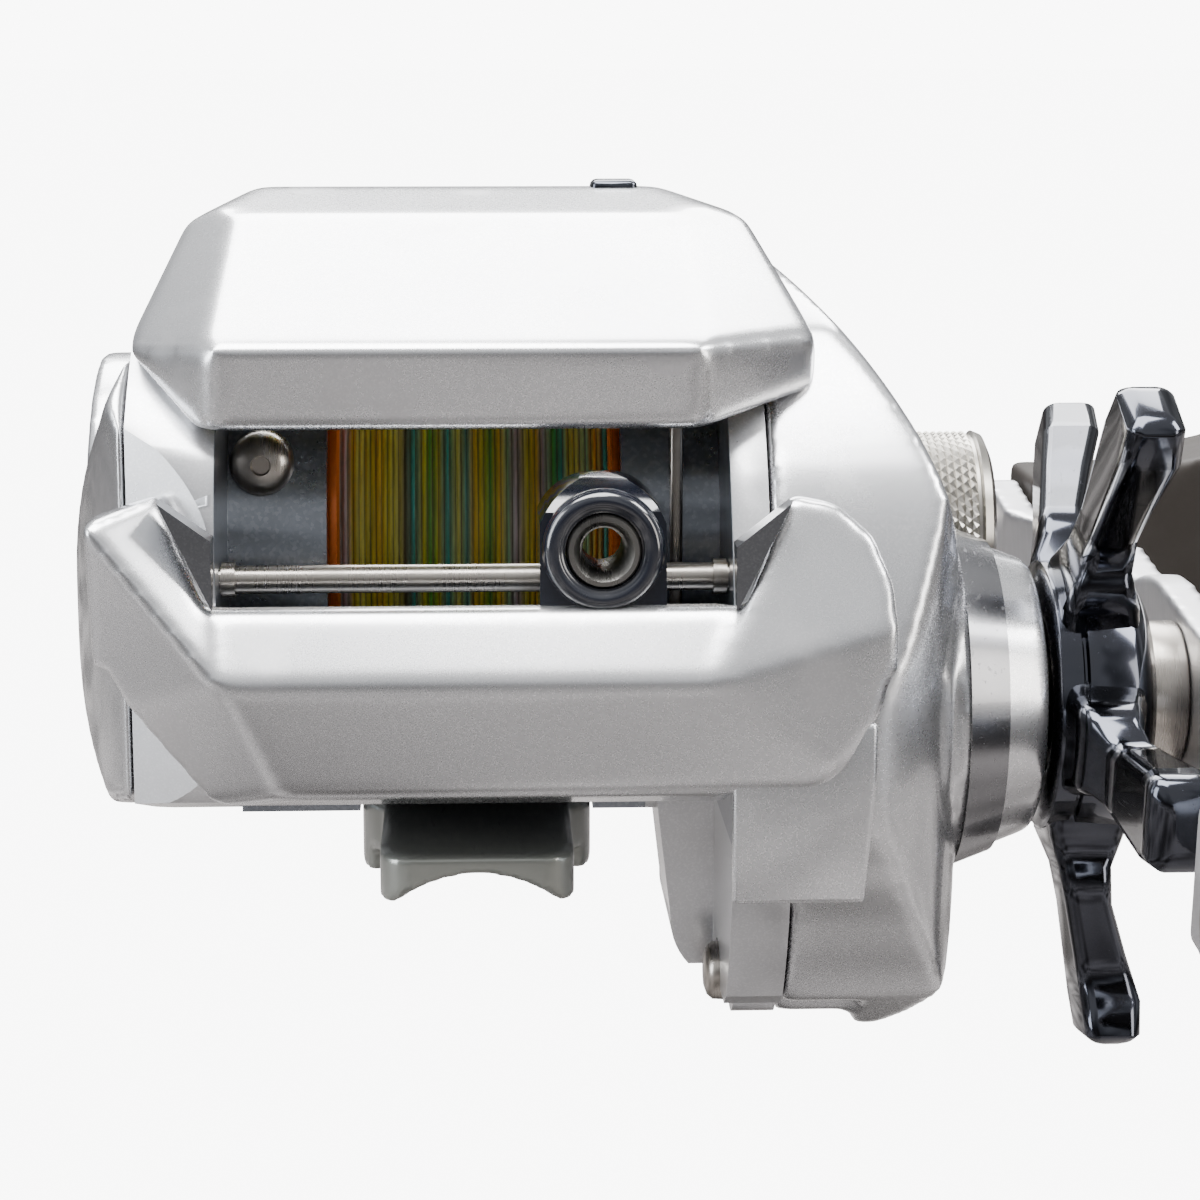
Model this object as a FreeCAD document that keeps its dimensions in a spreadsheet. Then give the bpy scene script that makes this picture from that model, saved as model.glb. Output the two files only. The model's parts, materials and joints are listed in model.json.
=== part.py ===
"""A low-profile baitcasting reel with the handle on the left of the angler.

Frame of the part, in millimetres: +X along the spool axis towards the handle, +Y back towards the
angler, +Z up and away from the rod.  The origin lies on the centreline of the rod seat that the foot
rests on, straight under the middle of the spool.

Every piece is modelled about the spool axis and is then lifted by axis_height.  The driving sizes are
in the spreadsheet "Sizes".  A Size holds a number together with the formula that gives it, so one
expression both places a piece and binds its property to the sheet.
"""
import FreeCAD, Part
import Sketcher
import math
import os

Vector = FreeCAD.Vector
Rotation = FreeCAD.Rotation
Placement = FreeCAD.Placement

doc = FreeCAD.newDocument("baitcasting_reel")

# ---------------------------------------------------------------- driving sizes

DRIVING_SIZES = [
    # the whole reel
    ("axis_height", 27.5, "rod centreline to spool axis"),
    ("seat_radius", 8.2, "radius of the rod seat under the foot"),
    ("running_gap", 0.04, "radial clearance of a shaft in its bearing"),
    ("moving_gap", 0.35, "clearance between pieces that pass each other"),
    ("seam_gap", 0.1, "gap at a seam between two covers"),
    ("wall", 1.7, "thickness of the covers"),
    # spool
    ("flange_radius", 16.0, "spool flange radius"),
    ("spool_half", 11.0, "half the spool width over its flanges"),
    ("flange_thick", 1.2, "spool flange thickness"),
    ("arbor_radius", 10.4, "radius the line is wound on"),
    ("line_radius", 14.3, "radius of the wound line"),
    ("shaft_radius", 1.6, "spool shaft radius under the spool"),
    ("journal_radius", 1.2, "spool shaft radius inside the pinion"),
    # frame
    ("bay_half", 17.0, "half the width of the level wind bay"),
    ("ring_wall", 1.55, "wall of the frame rings around the spool"),
    ("left_seam", 23.0, "spool middle to the palm plate seam"),
    ("right_seam", 19.5, "spool middle to the gear plate seam"),
    ("palm_face", 28.4, "spool middle to the outer palm face"),
    # gear train
    ("tooth_module", 0.45, "module of all the gears"),
    ("drive_teeth", 64, "teeth on the drive gear"),
    ("pinion_teeth", 12, "teeth on the pinion"),
    ("wind_drive_teeth", 32, "teeth on the level wind drive gear"),
    ("worm_gear_teeth", 20, "teeth on the worm shaft gear"),
    ("tooth_play", 0.09, "backlash taken off each tooth flank pair"),
    ("drive_drop", 36.0, "angle of the drive shaft below the front horizon"),
    ("worm_rise", 24.2, "angle of the worm shaft above the front horizon"),
    ("drive_gear_left", 23.0, "left face of the drive gear"),
    ("drive_gear_thick", 2.4, "thickness of the drive gear"),
    ("wind_gear_left", 19.9, "left face of the level wind gears"),
    ("wind_gear_thick", 1.9, "thickness of the level wind gears"),
    ("clutch_travel", 1.2, "how far the pinion slides to let the spool go"),
    ("drive_shaft_radius", 3.0, "drive shaft radius"),
    # level wind
    ("guide_bar_radius", 0.95, "guide bar radius"),
    ("guide_bar_y", -24.0, "guide bar position along the reel"),
    ("guide_bar_z", 0.5, "guide bar height over the spool axis"),
    ("worm_radius", 2.0, "worm shaft radius"),
    ("guide_x", 8.4, "where the line guide stands"),
    ("guide_half", 4.15, "half the width of the line guide"),
    ("eye_radius", 1.35, "bore of the line guide eye"),
    # gear side boss, star and handle
    ("boss_face", 39.4, "spool middle to the end of the drive boss"),
    ("boss_radius", 9.6, "radius of the drive boss at its end"),
    ("star_face", 40.0, "inner face of the star drag"),
    ("star_reach", 25.2, "radius of the star drag tips"),
    ("star_hub_radius", 10.4, "radius of the star drag hub"),
    ("arm_inner", 50.2, "inner face of the crank arm at its middle"),
    ("arm_thick", 2.6, "thickness of the crank arm"),
    ("crank_radius", 42.0, "drive shaft to knob axis"),
    ("crank_angle", 7.0, "rise of the rear crank half"),
    ("knob_length", 28.0, "length of a handle knob"),
    ("tension_radius", 7.3, "radius of the spool tension knob"),
    # controls
    ("dial_radius", 7.0, "radius of the brake dial"),
    ("thumb_travel", 3.5, "how far the thumb bar goes down"),
    ("foot_width", 13.2, "width of the foot at its ends"),
    ("foot_front", 27.0, "spool axis to the front end of the foot"),
    ("foot_rear", 29.0, "spool axis to the rear end of the foot"),
    ("foot_thick", 1.6, "thickness of the foot over the rod seat"),
]

sheet = doc.addObject("Spreadsheet::Sheet", "Sizes")
for row, (alias, number, meaning) in enumerate(DRIVING_SIZES, start=1):
    sheet.set(f"A{row}", alias)
    sheet.set(f"B{row}", str(number))
    sheet.set(f"C{row}", meaning)
    sheet.setAlias(f"B{row}", alias)
doc.recompute()


class Size:
    """A number and the spreadsheet formula that gives it."""

    def __init__(self, number, text):
        self.number, self.text = float(number), text

    def __float__(self):
        return self.number

    def __add__(self, other):
        other = size(other)
        return Size(self.number + other.number, f"({self.text} + {other.text})")

    def __sub__(self, other):
        other = size(other)
        return Size(self.number - other.number, f"({self.text} - {other.text})")

    def __mul__(self, other):
        other = size(other)
        return Size(self.number * other.number, f"({self.text} * {other.text})")

    def __truediv__(self, other):
        other = size(other)
        return Size(self.number / other.number, f"({self.text} / {other.text})")

    def __radd__(self, other):
        return size(other) + self

    def __rsub__(self, other):
        return size(other) - self

    def __rmul__(self, other):
        return size(other) * self

    def __neg__(self):
        return Size(-self.number, f"(0 - {self.text})")


def size(value):
    """A Size as it is, or a plain number as a Size."""
    return value if isinstance(value, Size) else Size(value, f"({float(value)!r})")


def cosine(degrees):
    return Size(math.cos(math.radians(float(degrees))), f"cos({degrees.text} * 1 deg)")


def sine(degrees):
    return Size(math.sin(math.radians(float(degrees))), f"sin({degrees.text} * 1 deg)")


class Sheet:
    """Gives each alias of the spreadsheet as a Size."""

    def __getattr__(self, alias):
        return Size(getattr(sheet, alias), f"Sizes.{alias}")


S = Sheet()
UP = S.axis_height

# ---------------------------------------------------------------- building blocks

TURN = {                                    # local Z, or a sketch normal, onto each row axis
    "X": Rotation(Vector(1, 1, 1), 120),    # sketch x -> +Y, sketch y -> +Z
    "Y": Rotation(Vector(1, 0, 0), 90),     # sketch x -> +X, sketch y -> +Z, normal -> -Y
    "Z": Rotation(),                        # sketch x -> +X, sketch y -> +Y
}


def put(thing, at, turn=Rotation()):
    """Place a thing at a point measured from the spool axis, and bind the point to the sheet."""
    x, y, z = size(at[0]), size(at[1]), size(at[2]) + UP
    thing.Placement = Placement(Vector(float(x), float(y), float(z)), turn)
    for name, value in zip("xyz", (x, y, z)):
        thing.setExpression(f"Placement.Base.{name}", value.text)
    return thing


def bind(thing, **sizes):
    for name, value in sizes.items():
        setattr(thing, name, float(size(value)))
        thing.setExpression(name, size(value).text)
    return thing


def named(thing, label):
    thing.Label = label
    return thing


def rod(radius, length, at, axis="X"):
    """A cylinder that starts at a point and runs along +X, -Y or +Z."""
    cylinder = doc.addObject("Part::Cylinder", "Rod")
    bind(cylinder, Radius=radius, Height=length)
    return put(cylinder, at, TURN[axis])


def taper(radius, end_radius, length, at, axis="X"):
    cone = doc.addObject("Part::Cone", "Taper")
    bind(cone, Radius1=radius, Radius2=end_radius, Height=length)
    return put(cone, at, TURN[axis])


def torus(radius, thickness, at, axis="X"):
    ring = doc.addObject("Part::Torus", "Torus")
    bind(ring, Radius1=radius, Radius2=thickness)
    return put(ring, at, TURN[axis])


def block(low, high):
    """A box between two corners."""
    box = doc.addObject("Part::Box", "Block")
    lengths = [size(b) - size(a) for a, b in zip(low, high)]
    bind(box, Length=lengths[0], Width=lengths[1], Height=lengths[2])
    return put(box, low)


def joined(*things):
    if len(things) == 1:
        return things[0]
    union = doc.addObject("Part::MultiFuse", "Joined")
    union.Shapes = list(things)
    return union


def cut(base, *tools):
    result = doc.addObject("Part::Cut", "Cut")
    result.Base, result.Tool = base, joined(*tools)
    return result


def common(*things):
    result = things[0]
    for thing in things[1:]:
        shared = doc.addObject("Part::Common", "Common")
        shared.Base, shared.Tool = result, thing
        result = shared
    return result


def tube(radius, bore, length, at, axis="X"):
    spare = 1.0
    start = list(at)
    index = "XYZ".index(axis)
    start[index] = start[index] + (spare if axis == "Y" else -spare)
    return cut(rod(radius, length, at, axis), rod(bore, size(length) + 2 * spare, start, axis))


def sketch_outline(body, corners, axis, at, tilt=Rotation()):
    """A closed sketch of lines and arcs.  A corner is (a, b), or (a, b, r) when the edge that arrives
    there is an arc of radius r that bulges out of an outline drawn counter-clockwise."""
    sketch = body.newObject("Sketcher::SketchObject", "Outline")
    put(sketch, at, tilt * TURN[axis])
    points = [Vector(float(size(c[0])), float(size(c[1])), 0) for c in corners]
    for n, corner in enumerate(corners):
        start, end = points[n - 1], points[n]
        if len(corner) == 2:
            sketch.addGeometry(Part.LineSegment(start, end), False)
            continue
        radius, chord = float(size(corner[2])), end - start
        sagitta = radius - math.sqrt(radius ** 2 - (chord.Length / 2) ** 2)
        outward = Vector(chord.y, -chord.x, 0).normalize()
        middle = (start + end) / 2 + outward * sagitta
        sketch.addGeometry(Part.Arc(start, middle, end), False)
    constraints, formulas = [], []
    for n, corner in enumerate(corners):
        edge = sketch.Geometry[n]
        is_arc = len(corner) == 3
        before = (n - 1) % len(corners)
        before_arc = len(corners[before]) == 3
        constraints.append(Sketcher.Constraint("Coincident", before, 2, n, 1))
        for kind, value in (("DistanceX", corner[0]), ("DistanceY", corner[1])):
            constraints.append(Sketcher.Constraint(kind, n, 2, float(size(value))))
            formulas.append((len(constraints) - 1, size(value)))
        if is_arc:
            constraints.append(Sketcher.Constraint("Radius", n, float(size(corner[2]))))
            formulas.append((len(constraints) - 1, size(corner[2])))
    sketch.addConstraint(constraints)
    for index, value in formulas:
        if "Sizes" in value.text:
            sketch.setExpression(f"Constraints[{index}]", value.text)
    return sketch


def pad(corners, axis, at, length, tilt=Rotation()):
    """A PartDesign pad of an outline, which runs along +X, -Y or +Z, tilted if asked."""
    body = doc.addObject("PartDesign::Body", "Prism")
    sketch = sketch_outline(body, corners, axis, at, tilt)
    padding = body.newObject("PartDesign::Pad", "Pad")
    padding.Profile = sketch
    bind(padding, Length=length)
    sketch.Visibility = False
    return body


def prism(corners, axis, start, length):
    """A pad of an outline that is drawn about the spool axis."""
    at = [0, 0, 0]
    at["XYZ".index(axis)] = start
    return pad(corners, axis, at, length)


def turned(profile, at=(0, 0, 0)):
    """A PartDesign revolution about +X.  The profile is a closed outline of (x, radius) corners."""
    body = doc.addObject("PartDesign::Body", "Turned")
    sketch = sketch_outline(body, profile, "Z", at)
    spin = body.newObject("PartDesign::Revolution", "Revolution")
    spin.Profile = sketch
    spin.ReferenceAxis = (sketch, ["H_Axis"])
    spin.Angle = 360
    sketch.Visibility = False
    return body


def inset(corners, distance):
    """The outline moved inwards by a distance, with its arcs made smaller by the same."""
    count = len(corners)
    points = [Vector(float(size(c[0])), float(size(c[1])), 0) for c in corners]
    moved = []
    for n, corner in enumerate(corners):
        arriving = (points[n] - points[n - 1]).normalize()
        leaving = (points[(n + 1) % count] - points[n]).normalize()
        first, second = Vector(-arriving.y, arriving.x, 0), Vector(-leaving.y, leaving.x, 0)
        step = (first + second) / (1 + first.dot(second))
        new = [corner[0] + size(round(step.x, 4)) * distance, corner[1] + size(round(step.y, 4)) * distance]
        if len(corner) == 3:
            new.append(corner[2] - size(distance))
        moved.append(tuple(new))
    return moved


def gear(teeth, start, thick, bore, centre, first_tooth):
    """An involute spur gear with short teeth.  first_tooth is the direction of one tooth in degrees."""
    module, count = float(S.tooth_module), int(float(teeth))
    pitch = module * count / 2
    base, tip, root = pitch * math.cos(math.radians(20)), pitch + 0.75 * module, pitch - 1.1 * module
    involute = math.tan(math.radians(20)) - math.radians(20)
    half = math.pi / (2 * count) - float(S.tooth_play) / (4 * pitch) + involute
    flank = []
    for radius in (root, max(root, base), pitch, tip):
        pressure = math.acos(min(1.0, base / radius))
        flank.append((radius, half - math.tan(pressure) + pressure))
    corners = []
    for tooth in range(count):
        middle = math.radians(first_tooth) + 2 * math.pi * tooth / count
        for radius, angle in [(r, -a) for r, a in flank] + [(r, a) for r, a in reversed(flank)]:
            corner = Vector(0, radius * math.cos(middle + angle), radius * math.sin(middle + angle))
            if not corners or (corner - corners[-1]).Length > 1e-4:
                corners.append(corner)
    face = doc.addObject("Part::Feature", "Teeth")
    face.Shape = Part.Face(Part.makePolygon(corners + corners[:1]))
    put(face, (start, centre[0], centre[1]))
    wheel = doc.addObject("Part::Extrusion", "Wheel")
    wheel.Base, wheel.DirMode, wheel.Dir, wheel.Solid = face, "Custom", Vector(1, 0, 0), True
    bind(wheel, LengthFwd=thick)
    return cut(wheel, rod(bore, size(thick) + 2, (size(start) - 1, centre[0], centre[1])))


# ---------------------------------------------------------------- where the axes lie

ONE = S.running_gap
drive_gap = S.tooth_module * (S.drive_teeth + S.pinion_teeth) / 2
DRIVE = (-(drive_gap * cosine(S.drive_drop)), -(drive_gap * sine(S.drive_drop)))
wind_gap = S.tooth_module * (S.wind_drive_teeth + S.worm_gear_teeth) / 2
WORM = (DRIVE[0] - wind_gap * cosine(S.worm_rise), DRIVE[1] + wind_gap * sine(S.worm_rise))
SPOOL = (size(0), size(0))
GUIDE = (S.guide_bar_y, S.guide_bar_z)
EYE_Z = S.guide_bar_z + 2.8
SEAT_Z = -UP
FOOT_TOP = S.seat_radius + S.foot_thick - UP
FLOOR_TOP = -(S.flange_radius + 0.45)


def on(axis, x):
    """A point at this x on one of the axes that run along X."""
    return (x, axis[0], axis[1])


def collar(outer, bore, start, length, axis):
    return tube(outer, bore, length, on(axis, start))


# ---------------------------------------------------------------- outlines seen from the side and front

ring_outer = S.flange_radius + S.moving_gap + S.ring_wall
R = S.flange_radius
FRAME_SIDE = [(-9, -R - 3), (15, -R - 3), (21.5, -8, 15), (23.6, 5, 34), (22.0, 14, 20),
              (13, R + 4.0, 15), (-8, R + 4.3, 90), (-18, R + 0.6, 30), (-26.4, 9.6, 40),
              (-28.2, 4, 14), (-28.2, -11), (-26.5, -14.2, 6)]
GEAR_SIDE = [(-18, -33.2), (-1, -33.2), (15, -21, 24), (21.5, -8, 25), (23.6, 5, 34), (22.0, 14, 20),
             (13, R + 4.0, 15), (-8, R + 4.3, 90), (-18, R + 0.6, 30), (-25.4, 8.0, 60),
             (-30.0, -3.5, 36), (-31.2, -9, 24), (-30.2, -18, 24), (-25.4, -28.6, 22)]
GEAR_FRONT = [(17, -34), (26.6, -34), (30.4, -31.4, 7), (32.8, -25, 14), (33.4, -17, 30), (33.4, -5),
              (32.6, 3, 30), (30.2, 9.4, 34), (26.4, 15.2, 40), (21.2, 20.6, 40), (17, 22.6, 40)]
PALM_FRONT = [(-17, 22), (-21.5, 18.0, 20), (-25.2, 10.5, 34), (-27.6, 3.5, 34),
              (-S.palm_face, -3.5, 30), (-27.6, -10, 26), (-24.6, -16, 20), (-21, -R - 4, 20), (-17, -R - 4)]
PALM_TOP = [(-17, -28.4), (-17, 25), (-21.8, 22.5, 14), (-26.4, 14, 30), (-28.6, 2, 40), (-28.6, -8, 60),
            (-27, -17, 34), (-23.4, -25, 30)]
GEAR_TOP = [(17, -32), (26.5, -31.0), (31, -27.5, 10), (33.4, -20, 20), (33.5, -4, 90), (32.4, 7, 40),
            (28.4, 17, 30), (24, 23, 24), (17, 26)]
HOOD_FRONT = [(-19.6, 11.0), (15.4, 11.0), (20.6, 13.0, 12), (23.0, 16.8, 8), (22.4, 19.6, 20),
              (20.0, 23.2, 14), (16.4, 25.2, 9), (13.0, 25.7, 20), (-15.4, 25.7), (-18.7, 24.7, 14),
              (-21.0, 21.9, 12),
              (-22.9, 16.6, 30), (-21.5, 12.4, 14)]
HOOD_SIDE = [(-29.0, 10.8), (-1, 10.8), (-1, 24.9), (-8, 25.6, 40), (-14, 24.0, 40), (-29.4, 16.7, 120)]
HOOD_TOP = [(-16.9, -29.5), (14.2, -29.5), (20.4, -26.6, 30), (23.1, -22.0, 20), (23.1, -0.9), (-23.1, -0.9),
            (-23.1, -22.0), (-21.2, -26.2, 30)]
NOSE_SIDE = [(-31.9, -13.3), (-26, -16.6), (-22, -16.6), (-22, 6.8), (-28.2, 6.8), (-29.6, -0.4),
             (-33.5, -4.8, 60)]
NOSE_FRONT = [(-20.5, -13.8, 60), (12, -13.8), (22, -12.9, 60), (27.2, -9.4, 12), (29.3, -3.6, 10),
              (27.0, 2.4, 12), (20.6, 6.5, 14), (19.4, 6.3), (17.7, 1.4), (17.0, 0.3), (15.6, -0.4),
              (-15.6, -0.4), (-17.0, 0.3), (-17.8, 1.4), (-19.6, 5.4), (-20.6, 6.1), (-25.1, 5.3),
              (-25.6, -2, 40), (-24.4, -9.6, 30)]
NOSE_TOP = [(-30, -20), (-30, -24), (-25.6, -27.4, 30), (-16.5, -33.6, 60), (15.3, -33.6), (24.2, -30.4, 60),
            (29.6, -25.6, 16), (29.6, -20)]

# ---------------------------------------------------------------- frame

bay = S.bay_half
left_wall = common(prism(FRAME_SIDE, "X", -S.left_seam, S.left_seam - bay),
                   prism(PALM_FRONT, "Y", 30, 60), prism(PALM_TOP, "Z", -30, 60))
LUG = (-18.4, -28.9)
lug_radius = 2.9
lip_top, lip_end, belly = -20.3, S.right_seam + 1.4, -29.6
lip = cut(prism(GEAR_SIDE, "X", bay, lip_end - bay), block((10, -40, lip_top), (30, 40, 40)))
right_wall = cut(joined(prism(GEAR_SIDE, "X", bay, S.right_seam - bay), lip),
                 block((10, -40, -40), (30, 40, belly)))
lug = rod(lug_radius, lip_end - bay - 0.9, on(LUG, bay + 0.9))
belly_front = [(bay, belly), (bay, -16.6), (12.8, -16.6), (13.9, -26), (15.2, belly, 5)]
belly_box = common(prism(belly_front, "Y", -1.6, 13.0),
                   prism(inset(GEAR_SIDE, 0.4), "X", 10, 10))
floor = prism([(-28.0, -13.5), (-10.5, FOOT_TOP), (-10.5, -R - 3), (17, -R - 3), (17, FLOOR_TOP),
               (-10, FLOOR_TOP), (-27.8, -12.1)], "X", -bay, 2 * bay)
bridge = common(block((-bay, 12, -R - 3), (bay, 23, -9.5)), prism(FRAME_SIDE, "X", -18, 36))
ring_edge = S.spool_half - S.flange_thick + 0.4
left_ring = rod(ring_outer, bay - ring_edge, on(SPOOL, -bay))
right_ring = rod(ring_outer, bay - ring_edge, on(SPOOL, ring_edge))
outer = joined(left_wall, right_wall, lug, belly_box, floor, bridge, left_ring, right_ring)

SCREWS = [LUG, (1.5, -28.6), (10.5, R + 1.2)]
FOOT_SCREWS = (-8.0, 9.4)
bar_slot_z = 12.9
frame = named(cut(
    outer,
    rod(R + S.moving_gap, S.spool_half + S.left_seam + 2.2, on(SPOOL, -S.left_seam - 1)),
    rod(6.2, 12, on(SPOOL, 10)),
    rod(4.02, 12, on(DRIVE, 16)),
    rod(S.guide_bar_radius + 0.02, 2 * bay + 3, on(GUIDE, -bay - 1.5)),
    rod(3.22, 4, on(WORM, bay - 1)), rod(3.22, 4.4, on(WORM, -bay - 3.4)),
    block((-bay - 2.2, 18.1, 5.9), (S.right_seam + 1, 20.3, bar_slot_z)),
    block((-8.45, -14.1, -30), (8.45, 14.1, FOOT_TOP + 0.1)),
    block((-S.foot_width / 2 - 0.15, -S.foot_front - 1, -30),
          (S.foot_width / 2 + 0.15, S.foot_rear + 1, FOOT_TOP + 0.1)),
    *[rod(1.04, 5, (0, y, -R - 4), "Z") for y in FOOT_SCREWS],
    *[rod(1.14, 6, (bay - 1, y, z)) for y, z in SCREWS],
    rod(2.3, 2.6, on(LUG, bay - 1))), "frame")

# ---------------------------------------------------------------- foot

tab_half = S.foot_width / 2
plan = [(-tab_half + 2, -S.foot_front, 2.3), (tab_half - 2, -S.foot_front),
        (tab_half, -S.foot_front + 2, 2.3), (tab_half, -14), (8.3, -10, 9), (8.3, 10),
        (tab_half, 14, 9), (tab_half, S.foot_rear - 4),
        (tab_half - 3.4, S.foot_rear, 4.4), (-tab_half + 3.4, S.foot_rear), (-tab_half, S.foot_rear - 4, 4.4),
        (-tab_half, 14), (-8.3, 10, 9), (-8.3, -10), (-tab_half, -14, 9), (-tab_half, -S.foot_front + 2)]
rise = [(-S.foot_front, -32), (S.foot_rear, -32), (S.foot_rear, FOOT_TOP - 0.9),
        (S.foot_rear - 9, FOOT_TOP), (-S.foot_front + 6, FOOT_TOP), (-S.foot_front, FOOT_TOP - 0.35)]
saddle_low = SEAT_Z + S.seat_radius * 0.54
foot_blank = common(prism(plan, "Z", -32, 20), prism(rise, "X", -12, 24))
foot = named(cut(
    foot_blank,
    rod(S.seat_radius, 24, (0, 12, SEAT_Z), "Y"),
    rod(S.seat_radius + 0.5, 40, (0, -12, SEAT_Z - 0.5), "Y"),
    rod(S.seat_radius + 0.5, 40, (0, 52, SEAT_Z - 0.5), "Y"),
    block((-12, -12, -40), (12, 12, saddle_low)),
    block((-12, -40, -40), (12, -12, SEAT_Z + S.seat_radius * 0.74)),
    block((-12, 12, -40), (12, 40, SEAT_Z + S.seat_radius * 0.74)),
    *[rod(1.02, 5, (0, y, -R - 4), "Z") for y in FOOT_SCREWS]), "foot")
named(joined(*[piece for y in FOOT_SCREWS for piece in (
    rod(1.0, 2.4, (0, y, FLOOR_TOP - 2.4), "Z"), rod(1.9, 0.9, (0, y, FLOOR_TOP), "Z"))]), "foot_screws")

# ---------------------------------------------------------------- covers

seam = S.seam_gap
grown_left = prism(inset(FRAME_SIDE, -seam), "X", -30, 30 - bay + seam)
grown_right = prism(inset(GEAR_SIDE, -seam), "X", bay - seam, 24)
hood = named(cut(
    common(prism(HOOD_SIDE, "X", -24, 48), prism(HOOD_FRONT, "Y", 5, 40), prism(HOOD_TOP, "Z", 5, 30)),
    common(prism([(-26.9, 0), (6, 0), (6, 23.4), (-8, 23.8, 40), (-27.3, 15.6)], "X", -24, 48),
           prism([(-21.1, 0), (21.1, 0), (21.1, 16.8)] + inset(HOOD_FRONT, S.wall)[4:11] + [(-21.1, 16.6)],
                 "Y", 6, 40),
           prism([(-16.1, -27.9), (13.4, -27.9), (19.2, -25.2, 30), (21.4, -21.4, 20), (21.4, 6), (-21.4, 6),
                  (-21.4, -21.4), (-19.9, -24.9, 30)], "Z", -5, 50)),
    grown_left, grown_right), "hood")

corner_tab = prism([(-32.0, lip_top + seam), (-29, lip_top + seam), (-29, -11), (-32.0, -11)],
                   "X", bay - 0.3, 9.7)
nose_shell = cut(joined(common(prism(NOSE_SIDE, "X", -30, 60), prism(NOSE_FRONT, "Y", 0, 40),
                               prism(NOSE_TOP, "Z", -20, 30)), corner_tab),
                 block((-bay, -31, -12), (bay, -20, 10)),
                 prism([(-31, -12.2), (-20, -12.2), (-20, -1), (-28.9, -2.2), (-31.8, -5.2)],
                       "X", -bay, 2 * bay))
front_cover = named(cut(
    nose_shell,
    prism(inset(FRAME_SIDE, -seam), "X", -bay - 12, 12 + seam),
    prism(inset(GEAR_SIDE, -seam), "X", bay - seam, 24),
    block((-bay - 1, -28.0, -30), (bay + 1, -20, -11))), "front_cover")

dome = common(prism(GEAR_SIDE, "X", S.right_seam + seam, 20), prism(GEAR_FRONT, "Y", 30, 65),
              prism(GEAR_TOP, "Z", -35, 62))
hollow = common(prism(inset(GEAR_SIDE, S.wall), "X", S.right_seam - 1, 13.2),
                prism(inset(GEAR_FRONT, S.wall), "Y", 30, 65), prism(inset(GEAR_TOP, S.wall), "Z", -35, 62))
posts = common(joined(*[rod(2.3, 6, (S.right_seam + seam, y, z)) for y, z in SCREWS]), dome)
lug_end = joined(rod(lug_radius, 5.2, on(LUG, lip_end)),
                 taper(lug_radius, lug_radius - 0.9, 1.0, on(LUG, lip_end + 5.2)))
under = block((17, -40, -40), (26.6, 40, belly))
boss_tube = rod(9.2, 8, on(DRIVE, 29.3))
boss_cone = taper(S.boss_radius + 2.4, S.boss_radius, S.boss_face - 33, on(DRIVE, 33))
knob_boss = joined(rod(5.55, 8.2, on(SPOOL, 28.4)), rod(8.7, 1.6, on(SPOOL, 30.0)))
knob_clear = S.tension_radius + 0.45
gear_side_plate = named(cut(
    joined(cut(dome, under, cut(hollow, block((17, -40, -40), (26.6 + S.wall, 40, belly + S.wall)))),
           posts, lug_end, boss_tube, boss_cone, knob_boss),
    block((17, -40, -40), (lip_end + seam, 40, lip_top + seam)),
    rod(7.45, 10.2, on(DRIVE, 28.2)), rod(5.6, 4, on(DRIVE, 37)), rod(5.2, 4.4, on(WORM, 18.4)),
    rod(4.02, 8.4, on(SPOOL, 28.2)), tube(knob_clear, 5.55, 12, on(SPOOL, 31.6)),
    *[rod(1.12, 4.6, (S.right_seam - 1, y, z)) for y, z in SCREWS]), "gear_side_plate")
head_start = [bay - 0.05 if screw is LUG else bay - 1.65 for screw in SCREWS]
named(joined(*[piece for x, (y, z) in zip(head_start, SCREWS) for piece in (
    rod(2.0, 1.6, (x, y, z)), rod(1.1, 21.1 - x, (x + 1.5, y, z)))]), "plate_screws")
boss_band = named(cut(taper(S.boss_radius + 2.6, S.boss_radius + 1.55, 2.8, on(DRIVE, 33.5)),
                      taper(S.boss_radius + 2.3, S.boss_radius + 1.25, 3.0, on(DRIVE, 33.4)),
                      rod(knob_clear, 8, on(SPOOL, 31.6))), "boss_band")

palm_dome = common(prism(inset(FRAME_SIDE, 0.15), "X", -32, 32 - S.left_seam - seam),
                   prism(PALM_FRONT, "Y", 30, 60), prism(PALM_TOP, "Z", -30, 60))
palm_hollow = common(prism(inset(FRAME_SIDE, S.wall), "X", -S.palm_face + S.wall, 12),
                     prism(inset(PALM_FRONT, S.wall), "Y", 30, 60),
                     prism(inset(PALM_TOP, S.wall), "Z", -30, 60))
DIAL = (size(-1.0), size(-3.5))
palm_side_plate = named(cut(
    joined(cut(palm_dome, palm_hollow), rod(3.2, 3.0, on(DIAL, -S.palm_face + 1.6)),
           tube(13.4, 12.0, 4.3, on(SPOOL, -S.palm_face + 1.0))),
    rod(S.dial_radius + 0.2, 2.0, on(DIAL, -S.palm_face - 0.4)),
    rod(1.5 + ONE, 8, on(DIAL, -S.palm_face - 1))), "palm_side_plate")
brake_dial = named(joined(rod(S.dial_radius, 1.7, on(DIAL, -S.palm_face - 0.35)),
                          rod(1.5, 3.4, on(DIAL, -S.palm_face))), "brake_dial")

# ---------------------------------------------------------------- spool

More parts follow.
